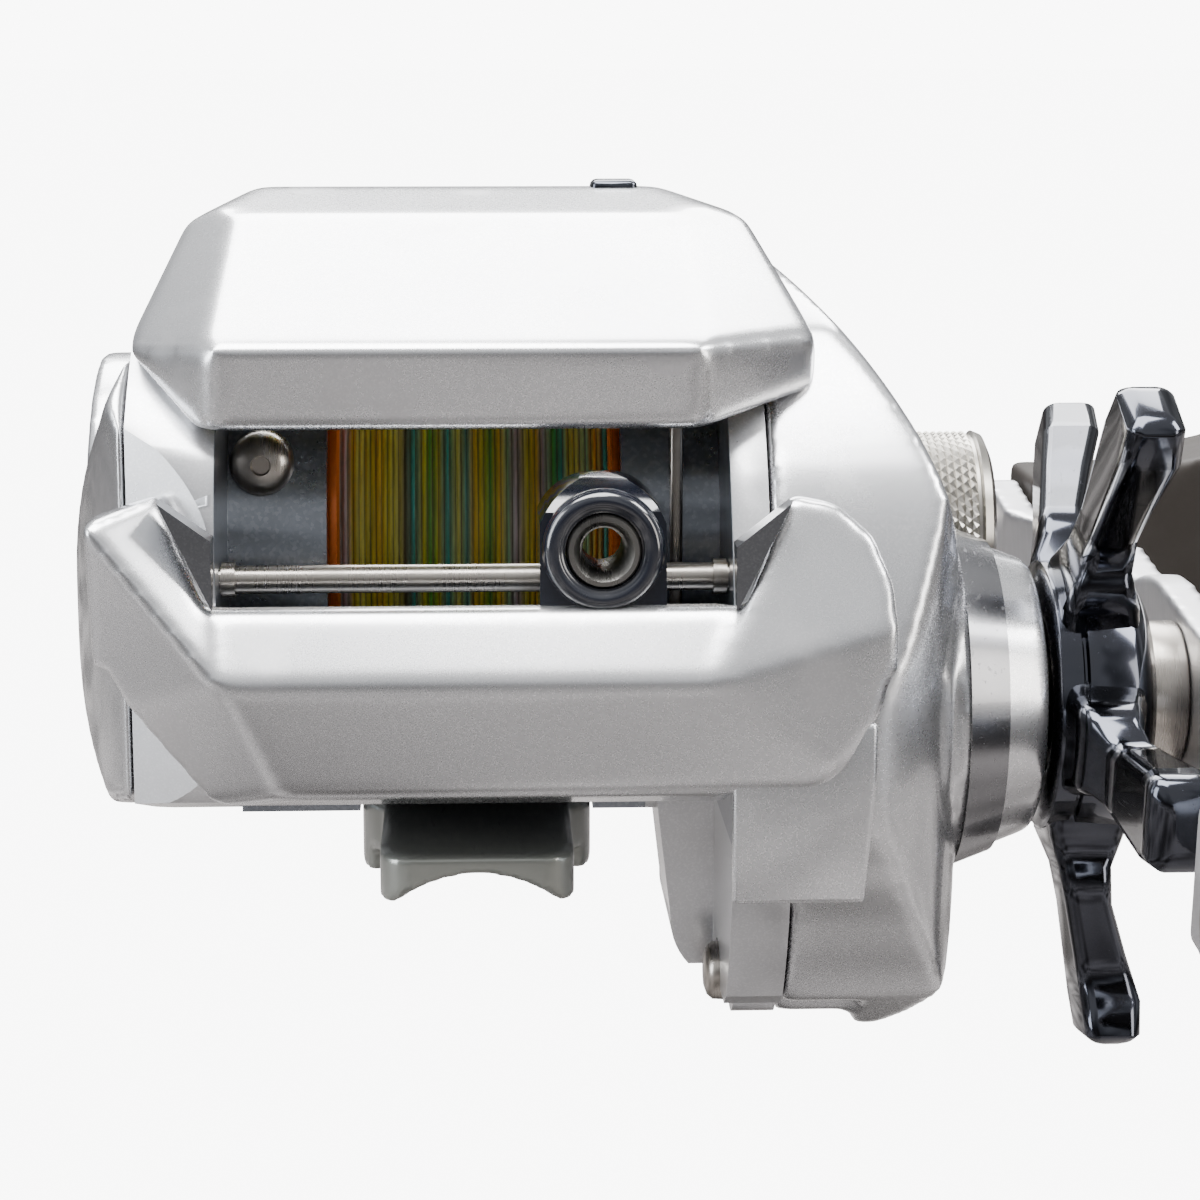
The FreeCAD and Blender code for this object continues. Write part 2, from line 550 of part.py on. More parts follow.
core = S.arbor_radius - 1.0
edge, arbor, inner_edge = S.spool_half, S.arbor_radius, S.spool_half - S.flange_thick
spool = named(turned([
    (-7, S.shaft_radius + 0.01), (7, S.shaft_radius + 0.01), (7, 3.2), (0.7, 3.9), (0.7, core),
    (inner_edge + 0.2, core), (edge, core + 0.8), (edge, R - 0.5), (edge - 0.5, R, 0.6), (inner_edge, R),
    (inner_edge, arbor), (-inner_edge, arbor), (-inner_edge, R), (-edge + 0.5, R), (-edge, R - 0.5, 0.6),
    (-edge, core + 0.8), (-inner_edge - 0.2, core), (-0.7, core), (-0.7, 3.9), (-7, 3.2)]), "spool")
wound = inner_edge - 0.03
line_pack = named(turned([
    (-wound, arbor + 0.03), (wound, arbor + 0.03), (wound, S.line_radius - 0.3),
    (0, S.line_radius, 160), (-wound, S.line_radius - 0.3, 160)]), "line_pack")
JR = S.journal_radius
pin_x = 18.5
shaft_blank = turned([
    (-20.9, 0), (36.2, 0), (36.2, JR - 0.4), (35.6, JR, 0.9), (12.4, JR), (12.4, S.shaft_radius),
    (-12.4, S.shaft_radius), (-12.4, JR), (-20.5, JR), (-20.9, JR - 0.4)])
spool_shaft = named(cut(shaft_blank, rod(0.45, 5, (pin_x, 0, -2.5), "Z")), "spool_shaft")
spool_pin = named(rod(0.44, 5.0, (pin_x, 0, -2.5), "Z"), "spool_pin")
brake_hub = named(collar(9.0, S.shaft_radius + 0.01, -12.35, 1.2, SPOOL), "brake_hub")
named(joined(*[common(block((-14.4, y - 1.4, z - 1.4), (-12.4, y + 1.4, z + 1.4)),
                      rod(9.6, 4, on(SPOOL, -15)))
               for y, z in ((8.0, 0), (-8.0, 0), (0, 8.0), (0, -8.0))]), "brake_blocks")
brake_case = named(joined(collar(15.8, 3.52, -S.left_seam + 0.0, 1.4, SPOOL),
                          collar(4.8, 3.52, -21.8, 4.3, SPOOL),
                          collar(11.5, 10.5, -21.8, 8.6, SPOOL)), "brake_case")
palm_bearing = named(collar(3.5, JR + ONE, -20.3, 2.4, SPOOL), "palm_bearing")

# ---------------------------------------------------------------- gear train

to_spool = math.degrees(math.atan2(-float(DRIVE[1]), -float(DRIVE[0])))
to_worm = math.degrees(math.atan2(float(WORM[1] - DRIVE[1]), float(WORM[0] - DRIVE[0])))
SR = S.drive_shaft_radius
gear_end = S.drive_gear_left + S.drive_gear_thick
drive_gear = named(cut(gear(S.drive_teeth, S.drive_gear_left, S.drive_gear_thick, SR + ONE, DRIVE, to_spool),
                       collar(11.6, SR - 1, S.drive_gear_left + 0.9, 3, DRIVE)), "drive_gear")
pinion_gap = to_spool + 180 + 180 / float(S.pinion_teeth)
pinion = named(cut(
    joined(rod(2.05, 13.1, on(SPOOL, 18.0)), rod(3.0, 2.0, on(SPOOL, 18.0)), rod(3.0, 0.5, on(SPOOL, 21.3)),
           gear(S.pinion_teeth, 21.7, 5.4, 1.0, SPOOL, pinion_gap)),
    rod(JR + ONE, 20, on(SPOOL, 16)), block((17.5, -0.55, -3.5), (19.05, 0.55, 3.5))), "pinion")
pinion_bearing = named(collar(4.0, 2.05 + ONE, 28.6, 2.4, SPOOL), "pinion_bearing")
knob_bearing = named(collar(4.0, JR + ONE, 32.6, 2.4, SPOOL), "spool_bearing")

wind_drive_gear = named(gear(S.wind_drive_teeth, S.wind_gear_left, S.wind_gear_thick, SR + 0.02, DRIVE,
                             to_worm), "wind_drive_gear")
worm_gap = to_worm + 180 + 180 / float(S.worm_gear_teeth)
worm_gear = named(gear(S.worm_gear_teeth, S.wind_gear_left, S.wind_gear_thick, 1.32, WORM, worm_gap),
                  "worm_gear")
ratchet_tips = [(radius * math.cos(math.radians(angle)), radius * math.sin(math.radians(angle)))
                for n in range(8) for angle, radius in ((45 * n, 8.6), (45 * n + 40, 6.2))]
ratchet = named(cut(pad(ratchet_tips, "X", on(DRIVE, 21.95), 0.85),
                    rod(SR + 0.02, 3, on(DRIVE, 21))), "ratchet")
drive_shaft = named(turned([
    (17.3, 0), (55.7, 0), (55.7, 1.7), (52.8, 1.7), (52.8, 2.2), (47.4, 2.2), (47.4, 2.6), (36.7, 2.6),
    (36.7, SR), (19.62, SR), (19.62, 2.0), (17.3, 2.0)], on(DRIVE, 0)), "drive_shaft")
frame_bearing = named(collar(4.0, 2.0 + ONE, 17.2, 2.1, DRIVE), "drive_bearing_inner")
named(joined(*[collar(11.4, SR + 0.05, S.drive_gear_left + 0.95 + 0.75 * n, 0.7, DRIVE) for n in range(4)]),
      "drag_washers")
clutch_sleeve = named(collar(4.2, SR + 0.02, 27.05, 9.5, DRIVE), "clutch_sleeve")
roller_clutch = named(collar(7.4, 4.2 + ONE, 28.7, 6.8, DRIVE), "roller_clutch")
boss_bearing = named(collar(7.4, 4.2 + ONE, 35.6, 2.6, DRIVE), "drive_bearing_outer")
named(joined(*[cut(rod(4.1, 0.8, on(DRIVE, 36.75 + 1.0 * n)), rod(2.65, 3, on(DRIVE, 36 + 1.0 * n)))
               for n in (0, 1, 2)]), "drag_springs")

# ---------------------------------------------------------------- clutch

POST = (3.2, -8.2)
yoke_reach = 10.6
yoke_turn = math.degrees(math.atan2(POST[1], POST[0]))
yoke_plate = block((20.15, -yoke_reach, -2.6), (21.15, yoke_reach, 2.6))
yoke_plate.Placement.Rotation = Rotation(Vector(1, 0, 0), yoke_turn)
plate_start = Rotation(Vector(1, 0, 0), yoke_turn).multVec(Vector(0, -yoke_reach, -2.6))
put(yoke_plate, (20.15, plate_start.y, plate_start.z), Rotation(Vector(1, 0, 0), yoke_turn))
yoke = named(cut(yoke_plate, rod(2.4, 4, on(SPOOL, 19)),
                 *[rod(0.9 + ONE, 4, (19, sign * POST[0], sign * POST[1])) for sign in (1, -1)]), "yoke")
named(joined(*[rod(0.9, 7.6, (S.right_seam, sign * POST[0], sign * POST[1])) for sign in (1, -1)]),
      "yoke_posts")
named(joined(*[tube(1.5, 1.0, 4.0, (21.2, sign * POST[0], sign * POST[1])) for sign in (1, -1)]),
      "yoke_springs")
bar_left = -bay + 0.35
thumb_bar = named(joined(
        prism([(17.4, 9.6), (22.4, 9.2, 30), (23.4, 10.6, 1.6), (22.6, 12.4, 3), (18.0, 12.8, 20),
               (17.1, 11.8, 1.2)], "X", bar_left, 2 * bay - 0.7),
        block((-bay - 1.9, 18.3, 9.7), (-bay + 1, 20.1, 12.5)),
        block((bay - 1, 18.3, 9.7), (S.right_seam - 0.2, 20.1, 12.5))), "thumb_bar")

# ---------------------------------------------------------------- level wind

WR = S.worm_radius
guide_bar = named(turned([
    (-bay - 1.3, 0), (bay + 1.3, 0), (bay + 1.3, S.guide_bar_radius), (bay - 0.1, S.guide_bar_radius),
    (bay - 0.1, 1.2), (bay - 1.0, 1.2), (bay - 1.0, S.guide_bar_radius), (-bay + 1.0, S.guide_bar_radius),
    (-bay + 1.0, 1.2), (-bay + 0.1, 1.2), (-bay + 0.1, S.guide_bar_radius),
    (-bay - 1.3, S.guide_bar_radius)], on(GUIDE, 0)), "guide_bar")
worm_shaft = named(turned([
    (-20.1, 0), (22.6, 0), (22.6, 1.3), (16.4, 1.3), (16.4, WR), (-16.4, WR), (-16.4, 1.3), (-20.1, 1.3)],
    on(WORM, 0)), "worm_shaft")
named(joined(*[collar(3.2, 1.3 + ONE, x, 2.4, WORM) for x in (bay + 0.02, -bay - 2.42)]), "worm_bushings")
guard_out = WR + 1.1
worm_guard = named(cut(collar(guard_out, WR + 0.3, -bay + 0.05, 2 * bay - 0.1, WORM),
                       block((-bay + 1.5, WORM[0] - 1.5, WORM[1] - 5), (bay - 1.5, WORM[0] + 1.5, WORM[1]))),
                   "worm_guard")

low_x, high_x = S.guide_x - S.guide_half, S.guide_x + S.guide_half
guide_top = EYE_Z + 4.6
arch = [(-29.6, WORM[1] + 4.0), (-21.2, WORM[1] + 4.0), (-21.2, GUIDE[1] + 2.4), (-23.4, guide_top - 0.6, 5),
        (-26.0, guide_top, 4), (-29.2, guide_top - 2.2, 5)]
arch_front = [(low_x, WORM[1] + 3.0), (high_x, WORM[1] + 3.0), (high_x, EYE_Z + 1.6),
              (S.guide_x, guide_top + 0.02, S.guide_half + 0.55), (low_x, EYE_Z + 1.6, S.guide_half + 0.55)]
guide_bore = guard_out + ONE
line_guide = named(cut(
    joined(common(prism(arch, "X", low_x, 2 * S.guide_half), prism(arch_front, "Y", -15, 20)),
           rod(guard_out + 1.15, 2 * S.guide_half, on(WORM, low_x)),
           torus(3.15, 0.9, (S.guide_x, -29.6, EYE_Z), "Y"),
           rod(2.6, 2.9, (S.guide_x, WORM[0], WORM[1] - guard_out - 3.0), "Z")),
    rod(guide_bore, 2 * S.guide_half + 2, on(WORM, low_x - 1)),
    rod(S.guide_bar_radius + ONE, 2 * S.guide_half + 2, on(GUIDE, low_x - 1)),
    rod(2.52, 12, (S.guide_x, -20, EYE_Z), "Y"),
    rod(1.4, 8, (S.guide_x, WORM[0], WORM[1] - 9), "Z")), "line_guide")
eye_ring = named(cut(rod(2.5, 5.5, (S.guide_x, -25.1, EYE_Z), "Y"),
                     rod(S.eye_radius, 12, (S.guide_x, -20, EYE_Z), "Y")), "eye_ring")
pawl = named(rod(1.35, 3.4, (S.guide_x, WORM[0], WORM[1] - WR - 0.12 - 3.4), "Z"), "pawl")
pawl_cap = named(rod(1.35, 0.8, (S.guide_x, WORM[0], WORM[1] - WR - 0.12 - 3.4 - 0.85), "Z"), "pawl_cap")

# ---------------------------------------------------------------- spool tension knob

TR = S.tension_radius
tension_knob = named(cut(turned([
    (31.9, 5.65), (37.4, 5.65), (37.4, 0), (38.6, 0), (38.6, TR - 1.6), (37.9, TR - 0.4, 1.2),
    (37.0, TR, 1.6), (31.9, TR)], (0, 0, 0)), rod(0.9, 1, on(SPOOL, 38.3))), "tension_knob")

# ---------------------------------------------------------------- star drag

star_hub = S.star_hub_radius
star_outline = []
for arm in range(5):
    middle = 90 + 27 + 72 * arm
    for turn, radius in ((-27, star_hub + 0.4), (-13.5, star_hub + 2.6), (-9.5, 20), (-6.0, S.star_reach),
                         (6.0, S.star_reach), (9.5, 20), (13.5, star_hub + 2.6)):
        angle = math.radians(middle + turn)
        corner = (size(round(math.cos(angle), 5)) * radius, size(round(math.sin(angle), 5)) * radius)
        star_outline.append(corner + ((4.5,) if (turn, radius) == (6.0, S.star_reach) else ()))
star_disc = pad(star_outline, "X", on(DRIVE, S.star_face), 7.3)
star_profile = turned([
    (S.star_face, 4.9), (S.star_face + 7.3, 4.9), (S.star_face + 7.3, 7.2), (S.star_face + 6.2, 9.2, 3),
    (S.star_face + 5.6, 14), (S.star_face + 7.0, S.star_reach - 1.2),
    (S.star_face + 5.6, S.star_reach + 0.6, 2), (S.star_face + 3.0, S.star_reach + 0.4, 3),
    (S.star_face + 1.6, 15), (S.star_face, 9.4)], on(DRIVE, 0))
star_drag = named(common(star_disc, star_profile), "star_drag")
star_nut = named(collar(4.85, 2.65, S.star_face + 0.1, 6.6, DRIVE), "star_nut")

# ---------------------------------------------------------------- handle

arm_in, arm_out, arm_tip = S.arm_inner, S.arm_inner + S.arm_thick, S.arm_inner - 6.6
CR = S.crank_radius
tilt = Rotation(Vector(1, 0, 0), float(S.crank_angle))


def on_arm(x, along, across):
    """A point on the crank: along the arm from the drive shaft, and across it."""
    along, across = size(along), size(across)
    return (x, DRIVE[0] + along * cosine(S.crank_angle) - across * sine(S.crank_angle),
            DRIVE[1] + along * sine(S.crank_angle) + across * cosine(S.crank_angle))


bend_start, bend_end, arm_end = 23.0, CR - 8.6, CR + 4.6
arm_plan = [(bend_end, arm_tip), (arm_end, arm_tip), (arm_end, arm_tip + S.arm_thick),
            (bend_end, arm_tip + S.arm_thick), (bend_start, arm_out), (-bend_start, arm_out),
            (-bend_end, arm_tip + S.arm_thick), (-arm_end, arm_tip + S.arm_thick), (-arm_end, arm_tip),
            (-bend_end, arm_tip), (-bend_start, arm_in), (bend_start, arm_in)]
arm_plan = [(x, along) for along, x in arm_plan][::-1]
arm_shape = [(CR, -4.6), (CR, 4.6, 4.7), (15, 4.0), (6.5, 6.2, 20), (-6.5, 6.2), (-15, 4.0, 20), (-CR, 4.6),
             (-CR, -4.6, 4.7), (-15, -4.0), (-6.5, -6.2, 20), (6.5, -6.2), (15, -4.0, 20)]
crank_arm = named(cut(
    common(pad(arm_plan, "Z", on_arm(0, 0, -8), 16, tilt), pad(arm_shape, "X", on_arm(40, 0, 0), 16, tilt)),
    *[rod(hole, 20, on_arm(40, along, 0)) for along, hole in ((0, 2.22), (CR, 2.02), (-CR, 2.02))]),
    "crank_arm")
arm_spacer = named(collar(5.2, 2.22, 47.45, arm_in - 47.5, DRIVE), "arm_spacer")
arm_nut = named(cut(pad([(radius * math.cos(math.radians(60 * n)), radius * math.sin(math.radians(60 * n)))
                         for n in range(6) for radius in (5.2,)], "X", on(DRIVE, arm_out + 0.05), 3.0),
                    rod(1.72, 5, on(DRIVE, arm_out - 1))), "arm_nut")
nut_cap = named(cut(common(pad([(-8.6, -3.0), (-3, -6.6, 9), (3, -6.6, 9), (8.6, -3.0, 9), (10.6, 0, 6),
                                (8.6, 3.0, 6), (3, 6.6, 9), (-3, 6.6, 9), (-8.6, 3.0, 9), (-10.6, 0, 6),
                                (-8.6, -3, 6)][1:] , "X", on(DRIVE, arm_out + 0.1), 4.4, tilt),
                           rod(11, 4.4, on(DRIVE, arm_out + 0.1))),
                    rod(5.3, 3.2, on(DRIVE, arm_out - 0.1))), "nut_cap")
KNOB = arm_tip + S.arm_thick + 0.35
knob_end = KNOB + S.knob_length
for number, along in ((1, CR), (2, -CR)):
    centre = on_arm(0, along, 0)[1:]
    post = named(joined(rod(2.0, S.knob_length - 0.6, on(centre, arm_tip - 0.2)),
                        rod(3.0, 0.8, on(centre, arm_tip - 0.95))), f"knob_post_{number}")
    side = [(KNOB, -5.4), (KNOB + 5, -5.0, 16), (knob_end - 9, -8.2), (knob_end - 3, -9.6, 12),
            (knob_end, -6.4, 5), (knob_end, 6.4), (knob_end - 3, 9.6, 5), (knob_end - 9, 8.2, 12),
            (KNOB + 5, 5.0), (KNOB, 5.4, 16)]
    top = [(KNOB, -5.3), (knob_end - 4, -6.4), (knob_end, -4.0, 6), (knob_end, 4.0),
           (knob_end - 4, 6.4, 6), (KNOB, 5.3)]
    knob = named(cut(
        common(pad(side, "Y", (0, centre[0] + 15, centre[1]), 30),
               pad(top, "Z", (0, centre[0], centre[1] - 15), 30)),
        rod(3.02, S.knob_length - 2.6, on(centre, KNOB - 0.5))), f"knob_{number}")
    named(joined(*[collar(3.0, 2.0 + ONE, x, 2.2, centre) for x in (KNOB + 0.1, knob_end - 6.0)]),
          f"knob_bearings_{number}")
    named(rod(3.4, 0.5, on(centre, knob_end + 0.02)), f"knob_cap_{number}")

# ---------------------------------------------------------------- hand over

doc.recompute()
faulty = [thing.Label for thing in doc.Objects if "Invalid" in thing.State or "Error" in thing.State]
if faulty:
    raise RuntimeError(f"these objects did not recompute: {faulty}")

NODES = """
    frame foot foot_screws hood front_cover gear_side_plate plate_screws boss_band
    palm_side_plate brake_dial brake_case palm_bearing
    spool line_pack spool_shaft spool_pin brake_hub brake_blocks
    drive_gear pinion pinion_bearing spool_bearing wind_drive_gear worm_gear ratchet drive_shaft
    drive_bearing_inner drive_bearing_outer drag_washers clutch_sleeve roller_clutch drag_springs
    yoke yoke_posts yoke_springs thumb_bar
    guide_bar worm_shaft worm_bushings worm_guard line_guide eye_ring pawl pawl_cap
    tension_knob star_drag star_nut crank_arm arm_spacer arm_nut nut_cap
    knob_post_1 knob_post_2 knob_1 knob_2 knob_cap_1 knob_cap_2 knob_bearings_1 knob_bearings_2
""".split()

os.makedirs("parts", exist_ok=True)
for name in NODES:
    found = doc.getObjectsByLabel(name)
    if len(found) != 1:
        raise RuntimeError(f"{name} was built {len(found)} times")
    shape = found[0].Shape
    if shape.isNull() or not shape.isValid() or not shape.Solids:
        raise RuntimeError(f"{name} has no valid solid")
    shape.exportStep(os.path.join("parts", name + ".step"))
print(len(NODES), "nodes written")
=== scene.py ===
# %% [markdown]
# A baitcasting reel, piece by piece.  The working parts come in as a fixed frame of CAD nodes, and this
# lesson dresses them: it gives every node a finish, and replaces the ones whose real surface is softer
# or finer than a machine drawing.

# %% Load the frame
import json
import math

import bmesh
import bpy
from mathutils import Matrix, Vector


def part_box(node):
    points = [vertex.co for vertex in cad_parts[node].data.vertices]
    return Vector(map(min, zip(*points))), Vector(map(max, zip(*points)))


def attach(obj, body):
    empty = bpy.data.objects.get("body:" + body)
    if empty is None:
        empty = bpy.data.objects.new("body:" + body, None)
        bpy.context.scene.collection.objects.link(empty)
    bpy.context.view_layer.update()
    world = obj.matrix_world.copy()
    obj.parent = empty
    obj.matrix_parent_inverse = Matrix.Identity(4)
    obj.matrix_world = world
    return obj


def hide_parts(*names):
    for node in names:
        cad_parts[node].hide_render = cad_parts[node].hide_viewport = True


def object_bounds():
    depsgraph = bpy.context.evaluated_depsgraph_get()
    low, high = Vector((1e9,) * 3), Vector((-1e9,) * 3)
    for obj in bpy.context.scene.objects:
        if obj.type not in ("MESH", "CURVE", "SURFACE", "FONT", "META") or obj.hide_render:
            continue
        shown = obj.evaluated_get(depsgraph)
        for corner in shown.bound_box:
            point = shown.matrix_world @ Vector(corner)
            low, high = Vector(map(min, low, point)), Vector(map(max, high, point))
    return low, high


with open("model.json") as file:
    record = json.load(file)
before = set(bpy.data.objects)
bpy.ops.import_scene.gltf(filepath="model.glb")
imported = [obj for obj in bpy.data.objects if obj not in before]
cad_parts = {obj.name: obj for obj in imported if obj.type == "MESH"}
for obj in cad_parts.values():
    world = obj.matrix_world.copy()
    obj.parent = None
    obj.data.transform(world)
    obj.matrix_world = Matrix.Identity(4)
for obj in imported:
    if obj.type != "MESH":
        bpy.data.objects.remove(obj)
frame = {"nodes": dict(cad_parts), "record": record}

CAD_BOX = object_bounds()
NODES = frame["nodes"]

# %% [markdown]
# The reel sits above the rod on a foot, so its own axes are lifted off the origin.  Three of them carry
# everything that turns: the spool, the drive shaft with the handle on it, and the worm of the level
# wind.  They are read from the nodes' boxes, so a change of size in the frame moves the pieces too.

# %% The axes and a unit
MM = 0.001


def middle(node):
    low, high = (Vector(corner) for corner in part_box(node))
    return (low + high) / 2


def size_of(node):
    low, high = (Vector(corner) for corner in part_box(node))
    return high - low


SPOOL = middle("spool_shaft")
DRIVE = middle("drive_shaft")
WORM = middle("worm_shaft")
LIFT = SPOOL.z
print("spool axis", SPOOL.yz, "drive axis", DRIVE.yz, "worm axis", WORM.yz)


def spot(x, y, z):
    """A point in millimetres from the middle of the spool."""
    return Vector((x * MM, y * MM, z * MM + LIFT))


# %% [markdown]
# The room and every finish are small recipes of nodes.  Written as sums and products a recipe reads like
# the thought behind it, so one class wraps a socket and turns each operator into a Math node.  Another
# holds a node tree and adds any other node with its settings and inputs, and a third is a material.


# %% Shader maths
class Number:
    """A value that changes over a surface.  Its operators add Math nodes."""

    def __init__(self, recipe, socket):
        self.recipe, self.socket = recipe, socket

    def math(self, operation, *others):
        return self.recipe.node("ShaderNodeMath", {"operation": operation}, dict(enumerate((self, *others))))

    def __add__(self, other):
        return self.math("ADD", other)

    def __sub__(self, other):
        return self.math("SUBTRACT", other)

    def __mul__(self, other):
        return self.math("MULTIPLY", other)

    def __truediv__(self, other):
        return self.math("DIVIDE", other)

    def __rsub__(self, other):
        return self.recipe.node("ShaderNodeMath", {"operation": "SUBTRACT"}, {0: other, 1: self})

    __radd__, __rmul__ = __add__, __mul__

    def above(self, edge, softness):
        """0 below the edge and 1 above it, with a soft step."""
        return self.recipe.node("ShaderNodeMapRange", {"interpolation_type": "SMOOTHSTEP"},
                                {"Value": self, "From Min": edge - softness, "From Max": edge + softness})


class Recipe:
    """A node tree, and the one method that adds nodes to it."""

    def __init__(self, tree):
        self.tree = tree

    def node(self, kind, settings=None, inputs=None, output=0):
        made = self.tree.nodes.new(kind)
        for name, value in (settings or {}).items():
            if name == "stops":
                self._set_stops(made.color_ramp, value)
            else:
                setattr(made, name, value)
        for key, value in (inputs or {}).items():
            if isinstance(value, Number):
                self.tree.links.new(value.socket, made.inputs[key])
            else:
                made.inputs[key].default_value = value
        return Number(self, made.outputs[output])

    @staticmethod
    def _set_stops(ramp, stops):
        while len(ramp.elements) < len(stops):
            ramp.elements.new(0.5)
        for element, (place, colour) in zip(ramp.elements, stops):
            element.position, element.color = place, (*colour, 1)

    def seen_by_camera(self, usual, plain, share=1.0):
        """The usual shader, with a plain one put over it by this share where the eye looks straight at it."""
        looked_at = self.node("ShaderNodeLightPath", output="Is Camera Ray")
        both = self.node("ShaderNodeMixShader", None, {0: looked_at * share, 1: usual, 2: plain})
        self.tree.links.new(both.socket, self.tree.get_output_node("ALL").inputs["Surface"])


class Finish(Recipe):
    """A Principled material and the nodes behind it."""

    def __init__(self, name, colour, roughness, metallic=0.0, **constants):
        self.material = bpy.data.materials.new(name)
        self.material.use_nodes = True
        super().__init__(self.material.node_tree)
        self.shader = self.tree.nodes["Principled BSDF"]
        self.shader.inputs["Base Color"].default_value = (*colour, 1)
        self.shader.inputs["Roughness"].default_value = roughness
        self.shader.inputs["Metallic"].default_value = metallic
        for socket, value in constants.items():
            self.shader.inputs[socket.replace("_", " ")].default_value = value
        self.material.diffuse_color = (*colour, 1)

    def feed(self, socket, value):
        self.tree.links.new(value.socket, self.shader.inputs[socket])

    def place(self, scale=(1, 1, 1)):
        """Object coordinates in metres, stretched by a Mapping node."""
        coordinates = self.node("ShaderNodeTexCoord", output="Object")
        return self.node("ShaderNodeMapping", None, {"Vector": coordinates, "Scale": scale})

    def axis(self, number):
        """One object coordinate in millimetres: 0 for X, 1 for Y and 2 for Z."""
        coordinates = self.node("ShaderNodeTexCoord", output="Object")
        return self.node("ShaderNodeSeparateXYZ", None, {0: coordinates}, number) * 1000

    def noise(self, scale, detail=3.0, stretch=(1, 1, 1)):
        return self.node("ShaderNodeTexNoise", None, {"Vector": self.place(stretch), "Scale": scale,
                                                      "Detail": detail})

    def mix(self, factor, first, second):
        """A colour between two, each a plain colour or one that already comes from a node."""
        colours = [c if isinstance(c, Number) else (*c, 1) for c in (first, second)]
        return self.node("ShaderNodeMix", {"data_type": "RGBA"}, {0: factor, 6: colours[0], 7: colours[1]}, 2)

    def bump(self, height, strength, depth):
        raised = {"Height": height, "Strength": strength, "Distance": depth * MM}
        self.feed("Normal", self.node("ShaderNodeBump", None, raised))


print("shader helpers ready")

# %% [markdown]
# The reel is looked at from the front, where the line leaves it, from a little above.  A long lens
# keeps its two sides nearly parallel, as a close-up of a small object should be.

# %% Camera
camera_data = bpy.data.cameras.new("camera")
camera_data.sensor_width = 36
camera_data.lens = 87.6
camera_data.clip_start = 0.01
camera = bpy.data.objects.new("camera", camera_data)
bpy.context.scene.collection.objects.link(camera)
camera.location = spot(0, -217.3, 34.4)
LOOK_DOWN, LOOK_RIGHT = 10.39, 2.49
camera.rotation_euler = (math.radians(90 - LOOK_DOWN), 0, math.radians(-LOOK_RIGHT))
bpy.context.scene.camera = camera
print("camera at", camera.location)

# %% [markdown]
# Polished paint and black chrome are mostly what they reflect.  The room is bright overhead, darker
# round the horizon and grey below, so a facet's brightness tells which way it faces.  The eye itself
# sees a plain white room, which is what the Light Path node is for.

# %% Room
WHITE = 9.0
ROOM_GREYS = [(0.0, (0.16, 0.15, 0.145)), (0.30, (0.20, 0.17, 0.155)), (0.44, (0.10, 0.085, 0.08)),
              (0.55, (0.16, 0.165, 0.18)), (0.66, (0.42, 0.43, 0.45)), (0.80, (0.95, 0.96, 0.98)),
              (1.0, (1, 1, 1))]
world = bpy.data.worlds.new("room")
world.use_nodes = True
bpy.context.scene.world = world
room = Recipe(world.node_tree)
direction = room.node("ShaderNodeTexCoord", output="Generated")
height = room.node("ShaderNodeSeparateXYZ", None, {0: direction}, "Z")
shade = room.node("ShaderNodeMapRange", None, {"Value": height, "From Min": -1.0, "From Max": 1.0})
shapes = room.node("ShaderNodeTexNoise", None, {"Vector": direction, "Scale": 2.6, "Detail": 1.5})
drift = room.node("ShaderNodeMapRange", None, {"Value": shapes, "From Min": 0.3, "From Max": 0.7,
                                               "To Min": -0.17, "To Max": 0.17})
bands = room.node("ShaderNodeValToRGB", {"stops": ROOM_GREYS}, {0: shade + drift})
sky = room.node("ShaderNodeBackground", None, {"Color": bands, "Strength": 1.0})
backdrop = room.node("ShaderNodeBackground", None, {"Color": (1, 1, 1, 1), "Strength": WHITE})
room.seen_by_camera(sky, backdrop)
print("room with", len(ROOM_GREYS), "bands of grey")

# %% [markdown]
# Five panels do the lighting.  The one above makes the upward facets bright, the one on the left
# is a little cool and the one on the right a little warm, and the one behind rims the far edges.


# %% Lights
def panel_light(name, at, aim, width, height, watts, colour=(1, 1, 1)):
    data = bpy.data.lights.new(name, "AREA")
    data.shape = "RECTANGLE"
    data.size, data.size_y, data.energy, data.color = width, height, watts, colour
    lamp = bpy.data.objects.new(name, data)
    bpy.context.scene.collection.objects.link(lamp)
    lamp.location = at
    lamp.rotation_euler = (Vector(aim) - Vector(at)).to_track_quat("-Z", "Y").to_euler()


panel_light("light_above", spot(-40, -60, 330), spot(0, -5, 0), 0.30, 0.22, 5.0)
panel_light("light_left", spot(-330, -150, 110), spot(0, 0, 0), 0.16, 0.30, 2.0, (0.92, 0.96, 1.0))
panel_light("light_right", spot(300, -210, 70), spot(10, 0, -5), 0.10, 0.22, 0.7, (1.0, 0.96, 0.91))
panel_light("light_back", spot(20, 250, 300), spot(0, 0, 0), 0.34, 0.24, 4.4)
panel_light("light_edge", spot(260, -90, 250), spot(15, 0, 0), 0.12, 0.12, 1.2)

# %% [markdown]
# The floor is white to the eye and runs on far enough to meet the white of the room.  The paint sees it
# darker and in soft patches, as it would the things that stand round a table.

